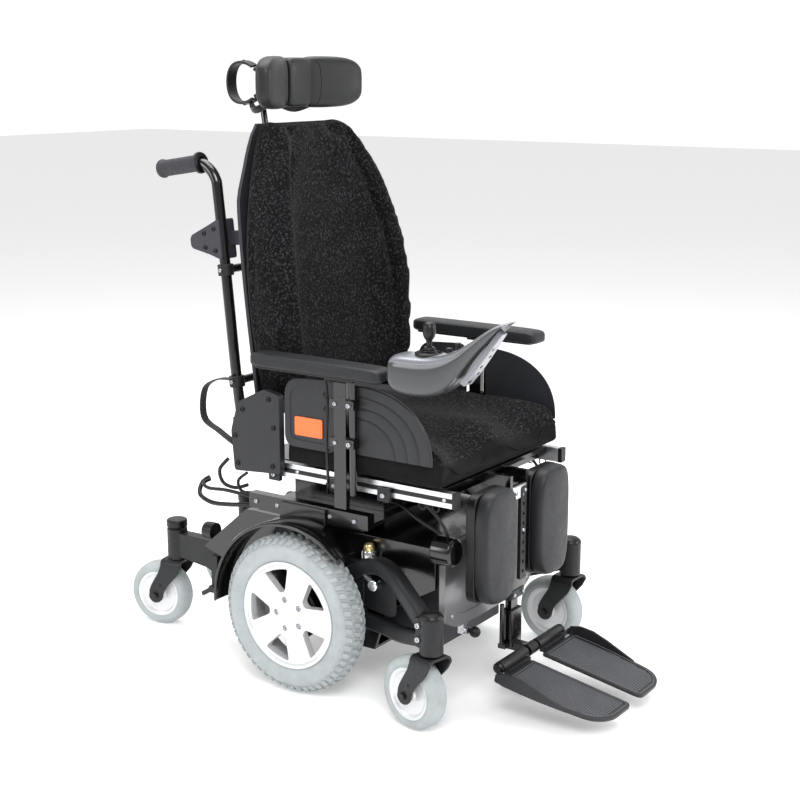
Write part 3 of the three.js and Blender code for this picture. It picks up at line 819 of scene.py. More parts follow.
def drive_tyre(name, side, sign):
    sizes = bpy.context.scene.wheelchair_sizes
    low, high = box_of("drive_tyre_" + side)
    centre = (low + high) / 2
    radius = (high.z - low.z) / 2
    depth = sizes.tread_depth / MM
    carcass = radius - depth
    half = (high.x - low.x) / 2
    profile = [(117.5, -26), (121, -30), (126, -32.5), (134, -34.6), (142, -35.4), (146, -half + 0.6),
               (149, -35.2)]
    crown = [(r, along) for along, r in
             [(tyre_surface(a / 10, 0, carcass, 0).x, -tyre_surface(a / 10, 0, carcass, 0).y)
              for a in range(-10, 11)]]
    profile = profile + crown + [(r, -along) for r, along in reversed(profile)]
    form = Form().turned(profile, (0, 0, 0), "x", 96, hollow=True)
    knobs = sizes.tread_knobs
    pitch = 2 * math.pi / knobs
    rows = [(-1.02, -0.55, 0.0, 0.34), (-0.46, -0.05, 0.5, 0.30), (0.05, 0.46, 0.0, 0.30),
            (0.55, 1.02, 0.5, 0.34)]
    for k in range(knobs):
        for inner, outer, stagger, share in rows:
            turn = (k + stagger) * pitch
            lean = pitch * 0.12 * (1 if inner > 0 else -1)
            corners = [(inner, turn - pitch * share - lean), (outer, turn - pitch * share + lean),
                       (outer, turn + pitch * share + lean), (inner, turn + pitch * share - lean)]
            base = [tyre_surface(a, t, carcass, -1.0) for a, t in corners]
            middle_a, middle_t = (inner + outer) / 2, turn
            top = [tyre_surface(middle_a + (a - middle_a) * 0.86, middle_t + (t - middle_t) * 0.8, carcass,
                                depth)
                   for a, t in corners]
            form.skin([base, top])
    form.mapped(lambda p: p + centre)
    return piece(name, form, BODY_OF["drive_tyre_" + side], "tyre", bevel=0.7, sharp_deg=40,
                 replaces=["drive_tyre_" + side], segments=1)


def wheel_window(turn_deg):
    """A rounded triangle between two spokes, in the wheel's plane (forward, up)."""
    outline = rounded([(50, -7, 6), (97, -33, 7), (101, 0, 30), (97, 33, 7), (50, 7, 6)], steps=5)
    turn = Matrix.Rotation(math.radians(turn_deg), 2)
    return [turn @ p for p in outline]


def drive_rim(side, sign):
    low, high = box_of("drive_rim_" + side)
    centre = Vector(((low.x + high.x) / 2, (low.y + high.y) / 2, (low.z + high.z) / 2))
    body = BODY_OF["drive_rim_" + side]
    face_x = 4.0
    barrel = Form().turned([(108, -25), (113, -25), (117.4, -28), (117.4, 30), (115.5, 31.5), (110, 31),
                            (104, 24), (104, 22), (107, 15)], (0, 0, 0), "x", 72, hollow=True)
    disc = Form().turned([(0, 26), (20, 26), (26, 25.4), (40, 24.6), (70, 25.6), (96, 27), (106, 28),
                          (108, 27),
                          (106, 10), (96, 9), (30, 8), (26, -2), (0, -2)], (0, 0, 0), "x", 72)
    windows = Form()
    for k in range(WHEEL_SPOKES):
        windows.prism([(-u, v) for u, v in wheel_window(SPOKE_PHASE + 72 * k)], "x", -20, 60)
    holes = Form()
    for k in range(WHEEL_SPOKES):
        a = math.radians(SPOKE_PHASE + 72 * k)
        holes.turned([(0, 19), (6.2, 19), (6.8, 40), (0, 40)], (0, -33 * math.cos(a), 33 * math.sin(a)),
                     "x", 20)
    place = lambda p: Vector((p.x * sign, p.y, p.z)) + centre + Vector((sign * -face_x, 0, 0))
    for form in (barrel, disc, windows, holes):
        form.mapped(place)
    rim = piece("wheel_rim_" + side, disc, body, "rim", bevel=1.3, replaces=["drive_rim_" + side])
    carved(rim, windows)
    carved(rim, holes)
    piece("wheel_barrel_" + side, barrel, body, "rim", bevel=0.6)
    screws = Form()
    for k in range(WHEEL_SPOKES):
        a = math.radians(SPOKE_PHASE + 72 * k)
        screws.bolt((19.2, -33 * math.cos(a), 33 * math.sin(a)), (1, 0, 0), 5.0, 4.5)
    screws.mapped(place)
    piece("wheel_bolts_" + side, screws, body, "zinc", bevel=0.2)
    back = Form().turned([(0, -12), (58, -12), (60, -9), (60, 4), (34, 7), (0, 7)], (0, 0, 0), "x",
                         40).mapped(place)
    piece("wheel_hub_back_" + side, back, body, "nylon", bevel=1.0)


# ---- casters ----
def caster_map(where, side):
    """Places a form drawn at a caster that points straight back, turned to where its wheel rests."""
    name = f"caster_wheel_{where}_{side}"
    low, high = box_of(name)
    wheel = (low + high) / 2
    pivot = from_frame(JOINT_AT[f"swivel_{where}_{side}"])
    trail = Vector((wheel.x - pivot.x, wheel.y - pivot.y, 0))
    turn = Matrix.Rotation(math.atan2(-trail.x, trail.y), 3, "Z")
    return lambda p: turn @ Vector(p) + Vector((pivot.x, pivot.y, 0)), trail.length, wheel.z


def fork_width(z, trail, axle_z):
    """The front and rear edge of a fork leg at a height."""
    end_radius = 19.0
    front, rear = between([(axle_z - 12, trail - 17, trail + 17.5), (axle_z + 16, trail - 25, trail + 15),
                           (146, -23, 31), (168, -23, 31)], z)
    if z < axle_z:
        reach = math.sqrt(max(end_radius ** 2 - (z - axle_z) ** 2, 0.3))
        return trail - reach, trail + reach
    return front, rear


def caster(where, side):
    place, trail, axle_z = caster_map(where, side)
    fork_body = BODY_OF[f"caster_fork_{where}_{side}"]
    wheel_body = BODY_OF[f"caster_wheel_{where}_{side}"]
    radius = axle_z
    half, wall, bend, top = 33.5, 6.0, 11.0, 167.0
    mid = half - wall / 2
    heights = [axle_z - 18.9, axle_z - 16, axle_z - 10, axle_z - 4, axle_z + 2] + \
        [axle_z + 12 * k for k in range(1, 6)] + [top - wall / 2 - bend]
    leg = [(mid, z, 1, 0) for z in heights]
    corner = [(mid - bend + bend * math.cos(a), top - wall / 2 - bend + bend * math.sin(a), math.cos(a),
               math.sin(a))
              for a in [math.radians(15 * k) for k in range(1, 7)]]
    path = leg + corner
    path = path + [(-x, z, -nx, nz) for x, z, nx, nz in reversed(path)]
    rings = []
    for x, z, nx, nz in path:
        front, rear = fork_width(z, trail, axle_z)
        rings.append([(x + nx * wall / 2, front, z + nz * wall / 2),
                      (x + nx * wall / 2, rear, z + nz * wall / 2),
                      (x - nx * wall / 2, rear, z - nz * wall / 2),
                      (x - nx * wall / 2, front, z - nz * wall / 2)])
    fork = Form().skin(rings)
    piece(f"fork_{where}_{side}", fork.mapped(place), fork_body, "casting", bevel=1.6, sharp_deg=50,
          segments=3,
          replaces=[f"caster_fork_{where}_{side}"])
    collar = Form().turned([(0, 165), (22, 165), (22.5, 167), (20, 168.4), (0, 168.4)], (0, 0, 0), "z", 32)
    piece(f"fork_collar_{where}_{side}", collar.mapped(place), fork_body, "nylon")
    nuts = Form()
    for s in (-1, 1):
        nuts.turned([(0, half - 1), (9.5, half - 1), (9.5, half + 1.4), (0, half + 1.4)],
                    (0, trail, axle_z), "x", 24)
        nuts.turned([(0, half + 1.2), (7.5, half + 1.2), (7.5, half + 4.6), (6.6, half + 5.4),
                     (0, half + 5.4)],
                    (0, trail, axle_z), "x", 6)
        nuts.mirrored()
    nuts.turned([(0, -half + 2), (5.4, -half + 2), (5.4, half - 2), (0, half - 2)], (0, trail, axle_z), "x",
                20)
    piece(f"fork_axle_{where}_{side}", nuts.mapped(place), fork_body, "nylon", bevel=0.4)
    holes = Form()
    for s in (-1, 1):
        holes.bolt((s * (half - 0.4), trail - 14, axle_z + 26), (s, 0, 0), 3.4, 1.6)
    piece(f"fork_screws_{where}_{side}", holes.mapped(place), fork_body, "nylon")
    w = 23.6
    tyre = [(54, -w + 3), (58, -w), (64, -w + 0.2), (69, -w + 2.4), (72.6, -w + 6), (75, -w + 11),
            (75.9, -w + 14),
            (75.2, -w + 15), (76.2, -w + 16.4), (76.2, -3), (75.4, -2), (75.4, 2)]
    tyre += [(76.2, 3), (76.2, w - 16.4), (75.2, w - 15), (75.9, w - 14), (75, w - 11), (72.6, w - 6),
             (69, w - 2.4),
             (64, w - 0.2), (58, w), (54, w - 3)]
    tread = Form().turned(tyre, (0, trail, axle_z), "x", 64, hollow=True)
    piece(f"caster_tyre_{where}_{side}", tread.mapped(place), wheel_body, "tyre", sharp_deg=50,
          replaces=[f"caster_wheel_{where}_{side}"])
    hub = [(6, -20), (15, -20), (16, -18), (18, -15.5), (30, -14.5), (44, -16), (47, -18.5), (51.5, -20.5),
           (54.6, -20.5), (54.6, 20.5), (51.5, 20.5), (47, 18.5), (44, 16), (30, 14.5), (18, 15.5),
           (16, 18),
           (15, 20), (6, 20)]
    core = Form().turned(hub, (0, trail, axle_z), "x", 56, hollow=True)
    piece(f"caster_hub_{where}_{side}", core.mapped(place), wheel_body, "rim", bevel=0.6, sharp_deg=25)
    return radius


# ---- base ----
def front_arm(side, sign):
    """The sprung arm of a front caster: two curved tubes from the swing plate to the swivel barrel."""
    node = "front_arm_" + side
    body = BODY_OF[node]
    pivot = from_frame(JOINT_AT["swivel_front_" + side])
    bx, by = abs(pivot.x), pivot.y
    tubes = Form()
    tubes.swept([(206, -100, 262), (210, -160, 292), (228, -215, 296), (258, -275, 272),
                 (bx - 4, by + 16, 226)],
                section=soft_box(19, 19, 2.6, 20), up=(0, 0, 1))
    tubes.swept([(206, -108, 172), (211, -190, 166), (240, -256, 172), (bx - 6, by + 14, 196)],
                section=soft_box(13, 17, 3.0, 20), up=(0, 0, 1))
    piece(f"arm_tubes_{side}", tubes.mirrored(sign), body, "casting", replaces=[node])
    plate = Form().prism(rounded([(-142, 150), (-142, 296), (-90, 296), (-90, 150)], 16), "x", 200.5, 215)
    plate.prism(rounded([(-142, 196, 10), (-220, 186, 20), (-220, 262, 20), (-142, 272, 10)], 8), "x", 206,
                211)
    piece(f"arm_swing_plate_{side}", plate.mirrored(sign), body, "casting", bevel=1.6)
    barrel = Form().turned([(8.6, 170), (22.6, 170), (24, 171.5), (24, 248), (8.6, 250)], (bx, by, 0), "z",
                           40,
                           hollow=True)
    boss = Form().prism(rounded([(bx - 21, by - 4), (bx + 19, by - 4), (bx + 19, by + 29),
                                 (bx - 21, by + 33)], 9),
                        "z", 184, 246)
    piece(f"arm_barrel_{side}", barrel.mirrored(sign), body, "casting", bevel=0.8)
    piece(f"arm_clamp_{side}", boss.mirrored(sign), body, "casting", bevel=3.0, segments=3)
    dome = Form().turned([(0, 259.5), (8, 259), (16, 256.6), (22, 252), (24.6, 247), (24.6, 243.5),
                          (0, 243.5)],
                         (bx, by, 0), "z", 40)
    piece(f"arm_cap_{side}", dome.mirrored(sign), body, "nylon")
    clamp_bolts = Form()
    for z in (202, 231):
        clamp_bolts.bolt((bx + 19.4, by + 19, z), (1, 0, 0), 6.4, 5)
    piece(f"arm_clamp_bolts_{side}", clamp_bolts.mirrored(sign), body, "zinc", bevel=0.3)


def damper(side, sign):
    """The gas damper between the chassis and the front arm: chrome body, cap and lower eye."""
    body = BODY_OF["chassis_frame"]
    chrome = Form().turned([(0, 276), (15, 276), (16.5, 278), (16.5, 318), (15, 321), (0, 321)],
                           (200, -146, 0), "z", 28)
    chrome.swept([(214, -140, 276), (220, -156, 268), (226, -176, 262)], 7.5, segs=16, steps=4)
    chrome.turned([(0, 219), (10, 219), (12, 221), (12, 238), (10, 240), (0, 240)], (0, -180, 260), "x", 24)
    piece(f"damper_chrome_{side}", chrome.mirrored(sign), body, "chrome", bevel=0.8)
    cap = Form().turned([(0, 320), (10, 320), (11, 322), (11, 330), (8, 334), (0, 334)], (200, -146, 0),
                        "z", 24)
    piece(f"damper_cap_{side}", cap.mirrored(sign), body, "brass", bevel=0.5)


def fender(side, sign):
    """The mudguard over a drive wheel: a curved sheet with rolled edges."""
    inner, outer = 233.0, 299.0
    section = [(195.4, inner), (199, inner), (201, inner + 3), (201, outer - 3), (199, outer),
               (195.4, outer),
               (193.6, outer - 1.6), (197, outer - 5), (197, inner + 5), (193.6, inner + 1.6)]
    rings = []
    for k in range(49):
        a = math.radians(-2 + 134 * k / 48)
        rings.append([(x, r * math.cos(a), AXLE.z / MM + r * math.sin(a)) for r, x in section])
    guard = Form().skin(rings)
    guard.box(233, 240, -60, 60, AXLE.z / MM + 180, AXLE.z / MM + 226)
    piece(f"mudguard_{side}", guard.mirrored(sign), BODY_OF["fender_" + side], "frame", bevel=0.8,
          sharp_deg=50,
          replaces=["fender_" + side])


def chassis():
    for node, bevel in (("chassis_frame", 1.5), ("seat_frame", 1.2)):
        refined(node, "frame", bevel)
    refined("battery_box", "panel", 4.0)
    body = BODY_OF["chassis_frame"]
    for side, sign in SIDES:
        refined("gearmotor_" + side, "casting", 2.0)
        refined("rear_arm_" + side, "casting", 2.0)
        refined("freewheel_lever_" + side, "casting", 1.0)
        front_arm(side, sign)
        damper(side, sign)
        fender(side, sign)
        heads = Form()
        for y in (-132, -70, -46, -22, 22, 46, 70, 128):
            heads.bolt((232.2, y, 388), (1, 0, 0), 5.2, 3.6)
        piece(f"rail_bolts_{side}", heads.mirrored(sign), body, "zinc", bevel=0.2)
        caps = Form()
        caps.turned([(0, 0), (22, 0), (24.5, 3), (24.5, 16), (22, 19), (0, 20)], (REAR_X, REAR_Y, REAR_CAP),
                    "z", 36)
        piece(f"rear_barrel_cap_{side}", caps.mirrored(sign), BODY_OF["rear_arm_" + side], "nylon",
              bevel=0.6)
        knob = Form().turned([(0, -352), (24, -351), (29, -346), (30, -332), (30, -306), (27, -303),
                              (0, -303)],
                             (186, 0, 348), "y", 40)
        piece(f"actuator_cap_{side}", knob.mirrored(sign), body, "frame", bevel=1.2)
        rear_knob = Form().turned([(0, 352), (15, 352), (19, 349), (20, 340), (20, 322), (0, 322)],
                                  (150, 0, 262), "y", 32)
        piece(f"rear_cap_{side}", rear_knob.mirrored(sign), body, "nylon", bevel=0.8)


REAR_X = abs(from_frame(JOINT_AT["swivel_rear_right"]).x)
REAR_Y = from_frame(JOINT_AT["swivel_rear_right"]).y
REAR_CAP = box_of("rear_arm_right")[1].z - 1


def battery_cover():
    low, high = box_of("battery_cover")
    body = BODY_OF["battery_cover"]
    front, back, half = low.y, high.y, high.x
    shape = [(-half, high.z, 20), (-half, 190, 30), (-130, low.z, 20), (130, low.z, 20), (half, 190, 30),
             (half, high.z, 20)]
    cover = Form().prism(rounded(shape, steps=8), "y", front - 6, back - 5)
    obj = piece("front_cover", cover, body, "cover", bevel=5.0, segments=4, replaces=["battery_cover"])
    seat_of_cover = [(x * 0.985, z, *more) for x, z, *more in shape]
    piece("front_cover_rim", Form().prism(rounded(seat_of_cover, steps=8), "y", back - 6, back), body,
          "nylon", bevel=1.0)
    inset = Form().prism(rounded([(-148, 322, 16), (-148, 206, 20), (-116, 190, 14), (116, 190, 14),
                                  (148, 206, 20),
                                  (148, 322, 16)], steps=6), "y", front - 12, front - 4)
    carved(obj, inset)
    screws = Form()
    for x, z in ((-164, 336), (164, 336), (-152, 196), (152, 196)):
        screws.bolt((x, front - 5.6, z), (0, -1, 0), 5.2, 3.2)
    piece("front_cover_screws", screws, body, "zinc", bevel=0.2)
    vents = Form()
    for k in range(7):
        vents.prism(rounded([(-70, 222 + 9 * k), (70, 222 + 9 * k), (70, 226 + 9 * k), (-70, 226 + 9 * k)],
                            1.9), "y",
                    front - 5, front - 1.8)
    piece("front_cover_vents", vents, body, "nylon", bevel=0.5)
    ball = Form().turned([(0, -12)] + [(r, a) for a, r in arc(12, 165, 0, 10)], (-91, -338, 147), "y", 28)
    ball.turned([(0, 0), (5, 0), (5, 26), (0, 26)], (-91, -326, 147), "y", 16)
    piece("release_knob", ball, body, "nylon", bevel=0.2)
    stub = Form().turned([(5.2, 0), (8, 0), (8, 10), (5.2, 10)], (-91, -322, 147), "y", 20, hollow=True)
    stub.box(-99, -83, -315, -300, 139, 166)
    piece("release_stem", stub, body, "zinc", bevel=0.6)


# ---- seat rails and side panels ----
def seat_rails():
    for side, sign in SIDES:
        refined("seat_rail_" + side, "aluminium", 0.9)
        body = BODY_OF["seat_rail_" + side]
        low, high = box_of("seat_rail_" + side)
        caps = Form()
        for y0, y1 in ((low.y - 9, low.y + 1), (high.y - 1, high.y + 6)):
            caps.box(205.4, 225.8, y0, y1, low.z - 0.8, high.z + 0.8)
        piece(f"rail_caps_{side}", caps.mirrored(sign), body, "nylon", bevel=2.2, segments=3)
        groove = Form().box(218, 224.4, low.y + 0.5, high.y - 0.5, low.z + 8.5, high.z - 9.0)
        piece(f"rail_groove_{side}", groove.mirrored(sign), body, "nylon", bevel=0.5)
        clamps = Form()
        for y in (-206, -84, 76):
            clamps.box(225.2, 236, y - 15, y + 15, low.z - 9, high.z - 12)
        piece(f"rail_clamps_{side}", clamps.mirrored(sign), body, "casting", bevel=2.0)
        screws = Form()
        for y in (-206, -84, 76):
            screws.bolt((236, y, high.z - 26), (1, 0, 0), 5.6, 4)
        for y in (-345, 22, 150):
            screws.bolt((224.0, y, high.z - 15.5), (1, 0, 0), 4.4, 2.0)
        piece(f"rail_screws_{side}", screws.mirrored(sign), body, "zinc", bevel=0.2)
        rings = Form()
        for y in (-320, -288):
            loop = [(216, y + 8 * math.cos(a), low.z - 7 + 8 * math.sin(a))
                    for a in [2 * math.pi * k / 20 for k in range(20)]]
            rings.swept(loop + loop[:1], 1.5, segs=8, smooth=False)
        piece(f"rail_tie_rings_{side}", rings.mirrored(sign), body, "nylon")


def fan_panel(side, sign):
    """The quarter-round side panel, with three grooves that follow its rim."""
    corner_y, corner_z = -152.0, 537.0
    low, high = box_of("front_panel_" + side)
    reach_y, reach_z = corner_y - low.y, high.z - corner_z
    grooves = (0.52, 0.68, 0.84)
    shares = sorted(set([0.0, 0.2, 0.36, 0.95, 0.985, 1.0]
                        + [round(g + d, 3) for g in grooves for d in (-0.028, -0.017, 0.0, 0.017, 0.028)]))
    turns = [math.radians(90 * k / 28) for k in range(29)]

    def face(x_of):
        rows = []
        for share in shares:
            row = []
            for a in turns:
                c, s = math.cos(a), math.sin(a)
                stretch = (abs(c) ** 2.3 + abs(s) ** 2.3) ** (-1 / 2.3)
                row.append((x_of(share), corner_y - reach_y * share * c * stretch,
                            corner_z + reach_z * share * s * stretch))
            rows.append(row)
        return rows

    def outer_x(share):
        depth = max((1.0 - min(abs(share - g) / 0.02, 1.0)) for g in grooves)
        return 251.0 - 2.2 * depth - (2.0 if share == 1.0 else 0.0)

    front = Form().skin(face(outer_x), wrap=False, ends=False)
    behind = Form().skin(face(lambda share: 246.0), wrap=False, ends=False)
    panel = front.join(behind)
    mesh_edges = Form()
    for rows_a, rows_b in ((face(outer_x), face(lambda share: 246.0)),):
        mesh_edges.skin([rows_a[-1], rows_b[-1]], wrap=False, ends=False)
        mesh_edges.skin([[row[0] for row in rows_a], [row[0] for row in rows_b]], wrap=False, ends=False)
        mesh_edges.skin([[row[-1] for row in rows_a], [row[-1] for row in rows_b]], wrap=False, ends=False)
    panel.join(mesh_edges)
    piece(f"fan_panel_{side}", panel.mirrored(sign), BODY_OF["front_panel_" + side], "panel", sharp_deg=28,
          replaces=["front_panel_" + side])


def side_panels():
    for side, sign in SIDES:
        fan_panel(side, sign)
        body = BODY_OF["rear_panel_" + side]
        outline = rounded([(33, 530, 26), (-100, 530, 20), (-100, 682, 26), (32, 674, 40)], steps=8)
        rim = Form().prism(outline, "x", 246, 250.4)
        panel = piece(f"skirt_panel_{side}", rim.mirrored(sign), body, "panel", bevel=1.6, segments=3,
                      replaces=["rear_panel_" + side])
        recess = rounded([(18, 546, 20), (-84, 546, 14), (-84, 666, 20), (18, 659, 32)], steps=8)
        carved(panel, Form().prism(recess, "x", 248.6, 256).mirrored(sign))
        lens = Form().prism(rounded([(6, 556), (-66, 556), (-66, 596), (6, 596)], 5), "x", 248.4, 251.2)
        piece(f"side_reflector_{side}", lens.mirrored(sign), body, "reflector", bevel=0.9, segments=3)
        pins = Form()
        for y, z in ((-72, 650), (-72, 620)):
            pins.bolt((248.6, y, z), (1, 0, 0), 4.6, 2.4)
        piece(f"panel_screws_{side}", pins.mirrored(sign), body, "nylon", bevel=0.2)
        refined("rear_cover_" + side, "panel", 2.2)
        heads = Form()
        for y, z in ((78, 620), (150, 590), (172, 530), (166, 470), (70, 476), (66, 560)):
            heads.bolt((247, y, z), (1, 0, 0), 5.4, 3.4)
        piece(f"cover_bolts_{side}", heads.mirrored(sign), body, "nylon", bevel=0.2)
        loop = Form().swept([(238, 182, 650), (238, 226, 644), (238, 262, 618), (238, 266, 556),
                             (238, 222, 530),
                             (238, 178, 508)], section=soft_box(1.6, 9.5, 6, 12), up=(1, 0, 0), steps=10)
        piece(f"strap_loop_{side}", loop.mirrored(sign), body, "webbing")


# ---- armrests ----
def arm_pads():
    for side, sign in SIDES:
        node = "arm_pad_" + side
        body = BODY_OF[node]
        low, high = box_of(node)
        top = high.z
        x = (268 if sign > 0 else -268)
        front, rear = low.y, high.y
        rings = []
        stations = [(0.0, 0.30, 0.30), (0.004, 0.62, 0.6), (0.014, 0.80, 0.82), (0.035, 0.93, 0.95),
                    (0.07, 1.0, 1.0),
                    (0.3, 1.0, 1.0), (0.7, 1.0, 1.0), (0.93, 1.0, 1.0), (0.965, 0.94, 0.95),
                    (0.986, 0.82, 0.82),
                    (0.996, 0.64, 0.6), (1.0, 0.32, 0.3)]
        for share, wide, tall in stations:
            y = rear + (front - rear) * share
            droop = 0.0 if share < 0.9 else (share - 0.9) * 30
            section = soft_box(30 * wide, 13.6 * tall, 4.6, 28)
            rings.append([(x + u, y,
                           top - 14.2 - droop + v + (1.6 if v > 0 else 0) * math.cos(u / 30) * tall)
                          for u, v in section])
        pad = piece(f"arm_cushion_{side}", Form().skin(rings), body, "foam", levels=2, replaces=[node])
        lower = Form()
        lower.prism(rounded([(x - 24, rear - 12), (x + 24, rear - 12), (x + 24, front + 14),
                             (x - 24, front + 14)], 14),
                    "z", top - 30.5, top - 26)
        lower.box(x - 16, x + 16, POST_Y - 44, POST_Y + 26, top - 36, top - 28)
        piece(f"arm_plate_{side}", lower, body, "nylon", bevel=1.4)
        rod = Form().turned([(0, 452), (6.6, 452), (8, 454), (8, top - 30), (0, top - 30)],
                            (258 * sign, POST_Y - 26, 0), "z", 24)
        piece(f"arm_rod_{side}", rod, body, "frame")
        refined("armrest_post_" + side, "frame", 1.3)
        post_body = BODY_OF["armrest_post_" + side]
        levers = Form()
        for z in (561, 641):
            levers.bolt((272, POST_Y - 26, z), (1, 0, 0), 5.6, 4)
            levers.bolt((272, POST_Y + 8, z), (1, 0, 0), 4.6, 3.4)
        for z in (462, 472):
            levers.bolt((258, POST_Y, z), (1, 0, 0), 3.6, 3)
        piece(f"post_screws_{side}", levers.mirrored(sign), post_body, "zinc", bevel=0.2)


POST_Y = sum(p.y for p in box_of("armrest_post_right")) / 2 + 8


# ---- joystick ----
def joystick():
    body = BODY_OF["joystick_housing"]
    x0 = from_frame(JOINT_AT["stick_sideways"]).x
    stations = [  # y, lowest z, highest z, half width
        (-256, 712, 744, 26), (-258, 700, 754, 34), (-264, 690, 760, 39), (-280, 683, 763, 42),
        (-310, 681, 764, 43),
        (-345, 683, 765, 43), (-375, 690, 772, 42), (-400, 702, 786, 40), (-425, 724, 806, 37),
        (-448, 752, 824, 33),
        (-470, 782, 836, 29), (-490, 808, 842, 25), (-504, 828, 844, 20), (-509, 838, 843, 12),
    ]
    rings = []
    for y, z0, z1, half in stations:
        section = soft_box(half, (z1 - z0) / 2, 3.4, 32)
        tilt = between([(-509, 12), (-440, 20), (-360, 4), (-256, 0)], y)[0]
        rings.append([(x0 + u, y - tilt * v / max((z1 - z0) / 2, 1), (z0 + z1) / 2 + v) for u,
                      v in section])
    pod = piece("joystick_pod", Form().skin(rings), body, ["pod", "pod_low"], levels=2,
                replaces=["joystick_housing"])
    count = 32
    for polygon in pod.data.polygons:
        turns = sorted((v % count) for v in polygon.vertices)
        on_top = len(turns) == 4 and turns[0] >= 3 and turns[-1] <= 13
        polygon.material_index = 0 if on_top else 1
    stick_y = from_frame(JOINT_AT["stick_sideways"]).y
    well = Form().turned([(23, 0), (25.5, 0), (27.5, 2.5), (27.5, 7), (25, 9), (22.5, 6)],
                         (x0, stick_y, 760), "z", 40,
                         hollow=True)
    piece("joystick_bezel", well, body, "nylon")
    boot = [(0, 4), (17, 4), (17.4, 5.4), (15, 7), (16, 9), (13.4, 10.6), (14.4, 12.4), (12, 14),
            (12.6, 16),
            (10.6, 19), (9.6, 20), (0, 20)]
    stick_z = box_of("joystick_collar")[0].z
    gaiter = Form().turned(boot, (x0, stick_y, stick_z), "z", 36)
    piece("joystick_gaiter", gaiter, BODY_OF["joystick_collar"], "nylon", replaces=["joystick_collar"])
    base = box_of("joystick_stick")[0].z - 8.5
    grip = [(0, 14), (5, 14), (5.4, 18), (5.4, 28), (6.4, 33), (10, 38), (12.2, 44), (13, 52), (12.4, 58),
            (11, 64),
            (8, 67), (0, 68)]
    knob = Form().turned(grip, (x0, stick_y, base), "z", 36)
    piece("joystick_grip", knob, BODY_OF["joystick_stick"], "nylon", replaces=["joystick_stick"])
    strip = Form()
    rows = []
    for y, z, half in ((-418, 716, 15), (-440, 742, 15), (-462, 772, 14), (-482, 800, 12), (-498, 822, 9)):
        rows.append([(x0 + half, y - 2, z - 2), (x0 - half, y - 2, z - 2), (x0 - half, y + 8, z - 8 + 12),
                     (x0 + half, y + 8, z - 8 + 12)])
    strip.skin(rows)
    piece("joystick_keypad", strip, body, "pod", bevel=1.2, levels=0)
    keys = Form()
    lift = Matrix.Rotation(math.radians(127), 3, "X")
    for k, (y, z) in enumerate(((-428, 723.5), (-441, 740), (-452, 755), (-466, 774.5), (-477, 790))):
        key = Form().turned([(0, 0), (4.4, 0), (4.4, 3.2), (3.4, 4.4), (0, 4.4)], (0, 0, 0), "z", 16)
        across = x0 + (4 if k % 2 else -4)
        keys.join(key.mapped(lambda p: lift @ p + Vector((across, y + 3, z + 1))))
    piece("joystick_keypad_keys", keys, body, "nylon")
    for key in ("power", "speed"):
        refined("key_" + key, "nylon", 0.8)
    arm = Form().prism(rounded([(x0 - 14, -300), (x0 + 14, -300), (x0 + 14, -165), (x0 - 14, -165)], 4),
                       "z", 686, 697)
    piece("joystick_bracket", arm, body, "casting", bevel=1.2)


# ---- back ----
def back_form(form):
    """A form given in the back's own coordinates: across, behind the pivot, and up the back."""
    return form.mapped(lambda p: on_back(p))


def back_structure():
    body = BODY_OF["back_frame"]
    tube_x, tube_r = 205, 11.5
    tubes = Form()
    for s in (-1, 1):
        tubes.swept([(s * tube_x, 8, 10), (s * tube_x, 14, 150), (s * tube_x, 14, 340),
                     (s * tube_x, 14, 540),
                     (s * tube_x, 18, 585), (s * tube_x, 42, 612), (s * tube_x, 70, 617),
                     (s * tube_x, 118, 614.5),
                     (s * tube_x, 160, 612.3)], tube_r, segs=24, steps=8)
    for z in (150, 390):
        tubes.turned([(0, -tube_x), (9, -tube_x), (9, tube_x), (0, tube_x)], (0, 14, z), "x", 20)
    piece("back_tubes", back_form(tubes), body, "frame", replaces=["back_frame"])
    spine = Form().box(-24, 24, 4, 30, 420, 560).box(-9, 9, 6, 24, 140, 440)
    piece("back_spine", back_form(spine), body, "frame", bevel=2.5, segments=3)
    for side, sign in SIDES:
        sleeve = [(12, -55), (22, -55), (23, -53), (23, -50), (21, -48.4), (16.4, -47)]
        for k in range(9):
            along = -42 + 10 * k
            sleeve += [(17.4, along), (17.8, along + 2), (17.8, along + 5.5), (17.4, along + 7),
                       (16.6, along + 8)]
        sleeve += [(17.6, 50), (20, 53), (20.4, 56), (19, 60), (12, 61), (0, 61), (0, 56), (12, 56)]
        grip = Form().turned(sleeve, (0, 0, 0), "y", 36, hollow=True)
        slope = Matrix.Rotation(math.radians(-3.05), 3, "X")
        grip.mapped(lambda p: slope @ p + Vector((sign * tube_x, 107, 615.1)))
        piece(f"push_handle_{side}", back_form(grip), body, "grip", sharp_deg=50,
              replaces=["push_grip_" + side])
        guard = Form().turned([(12, -57), (20, -57), (21.4, -56.4), (21.4, -54.6), (20, -54), (12, -54)],
                              (0, 0, 0),
                              "y", 36, hollow=True)
        guard.mapped(lambda p: slope @ p + Vector((sign * tube_x, 107, 615.1)))
        piece(f"push_handle_guard_{side}", back_form(guard), body, "nylon")
        clamp = Form()
        for z in (60, 150, 390):
            clamp.turned([(11.8, z - 12), (16, z - 12), (17, z - 11), (17, z + 11), (16, z + 12),
                          (11.8, z + 12)],
                         (sign * tube_x, 14, 0), "z", 28, hollow=True)
        piece(f"back_tube_clamps_{side}", back_form(clamp), body, "casting")
        heads = Form()
        for z in (60, 150, 390):
            heads.bolt((sign * (tube_x + 16.6), 14, z), (sign, 0, 0), 4.6, 3.4)
        piece(f"back_clamp_bolts_{side}", back_form(heads), body, "zinc", bevel=0.2)
    back_shell(body)


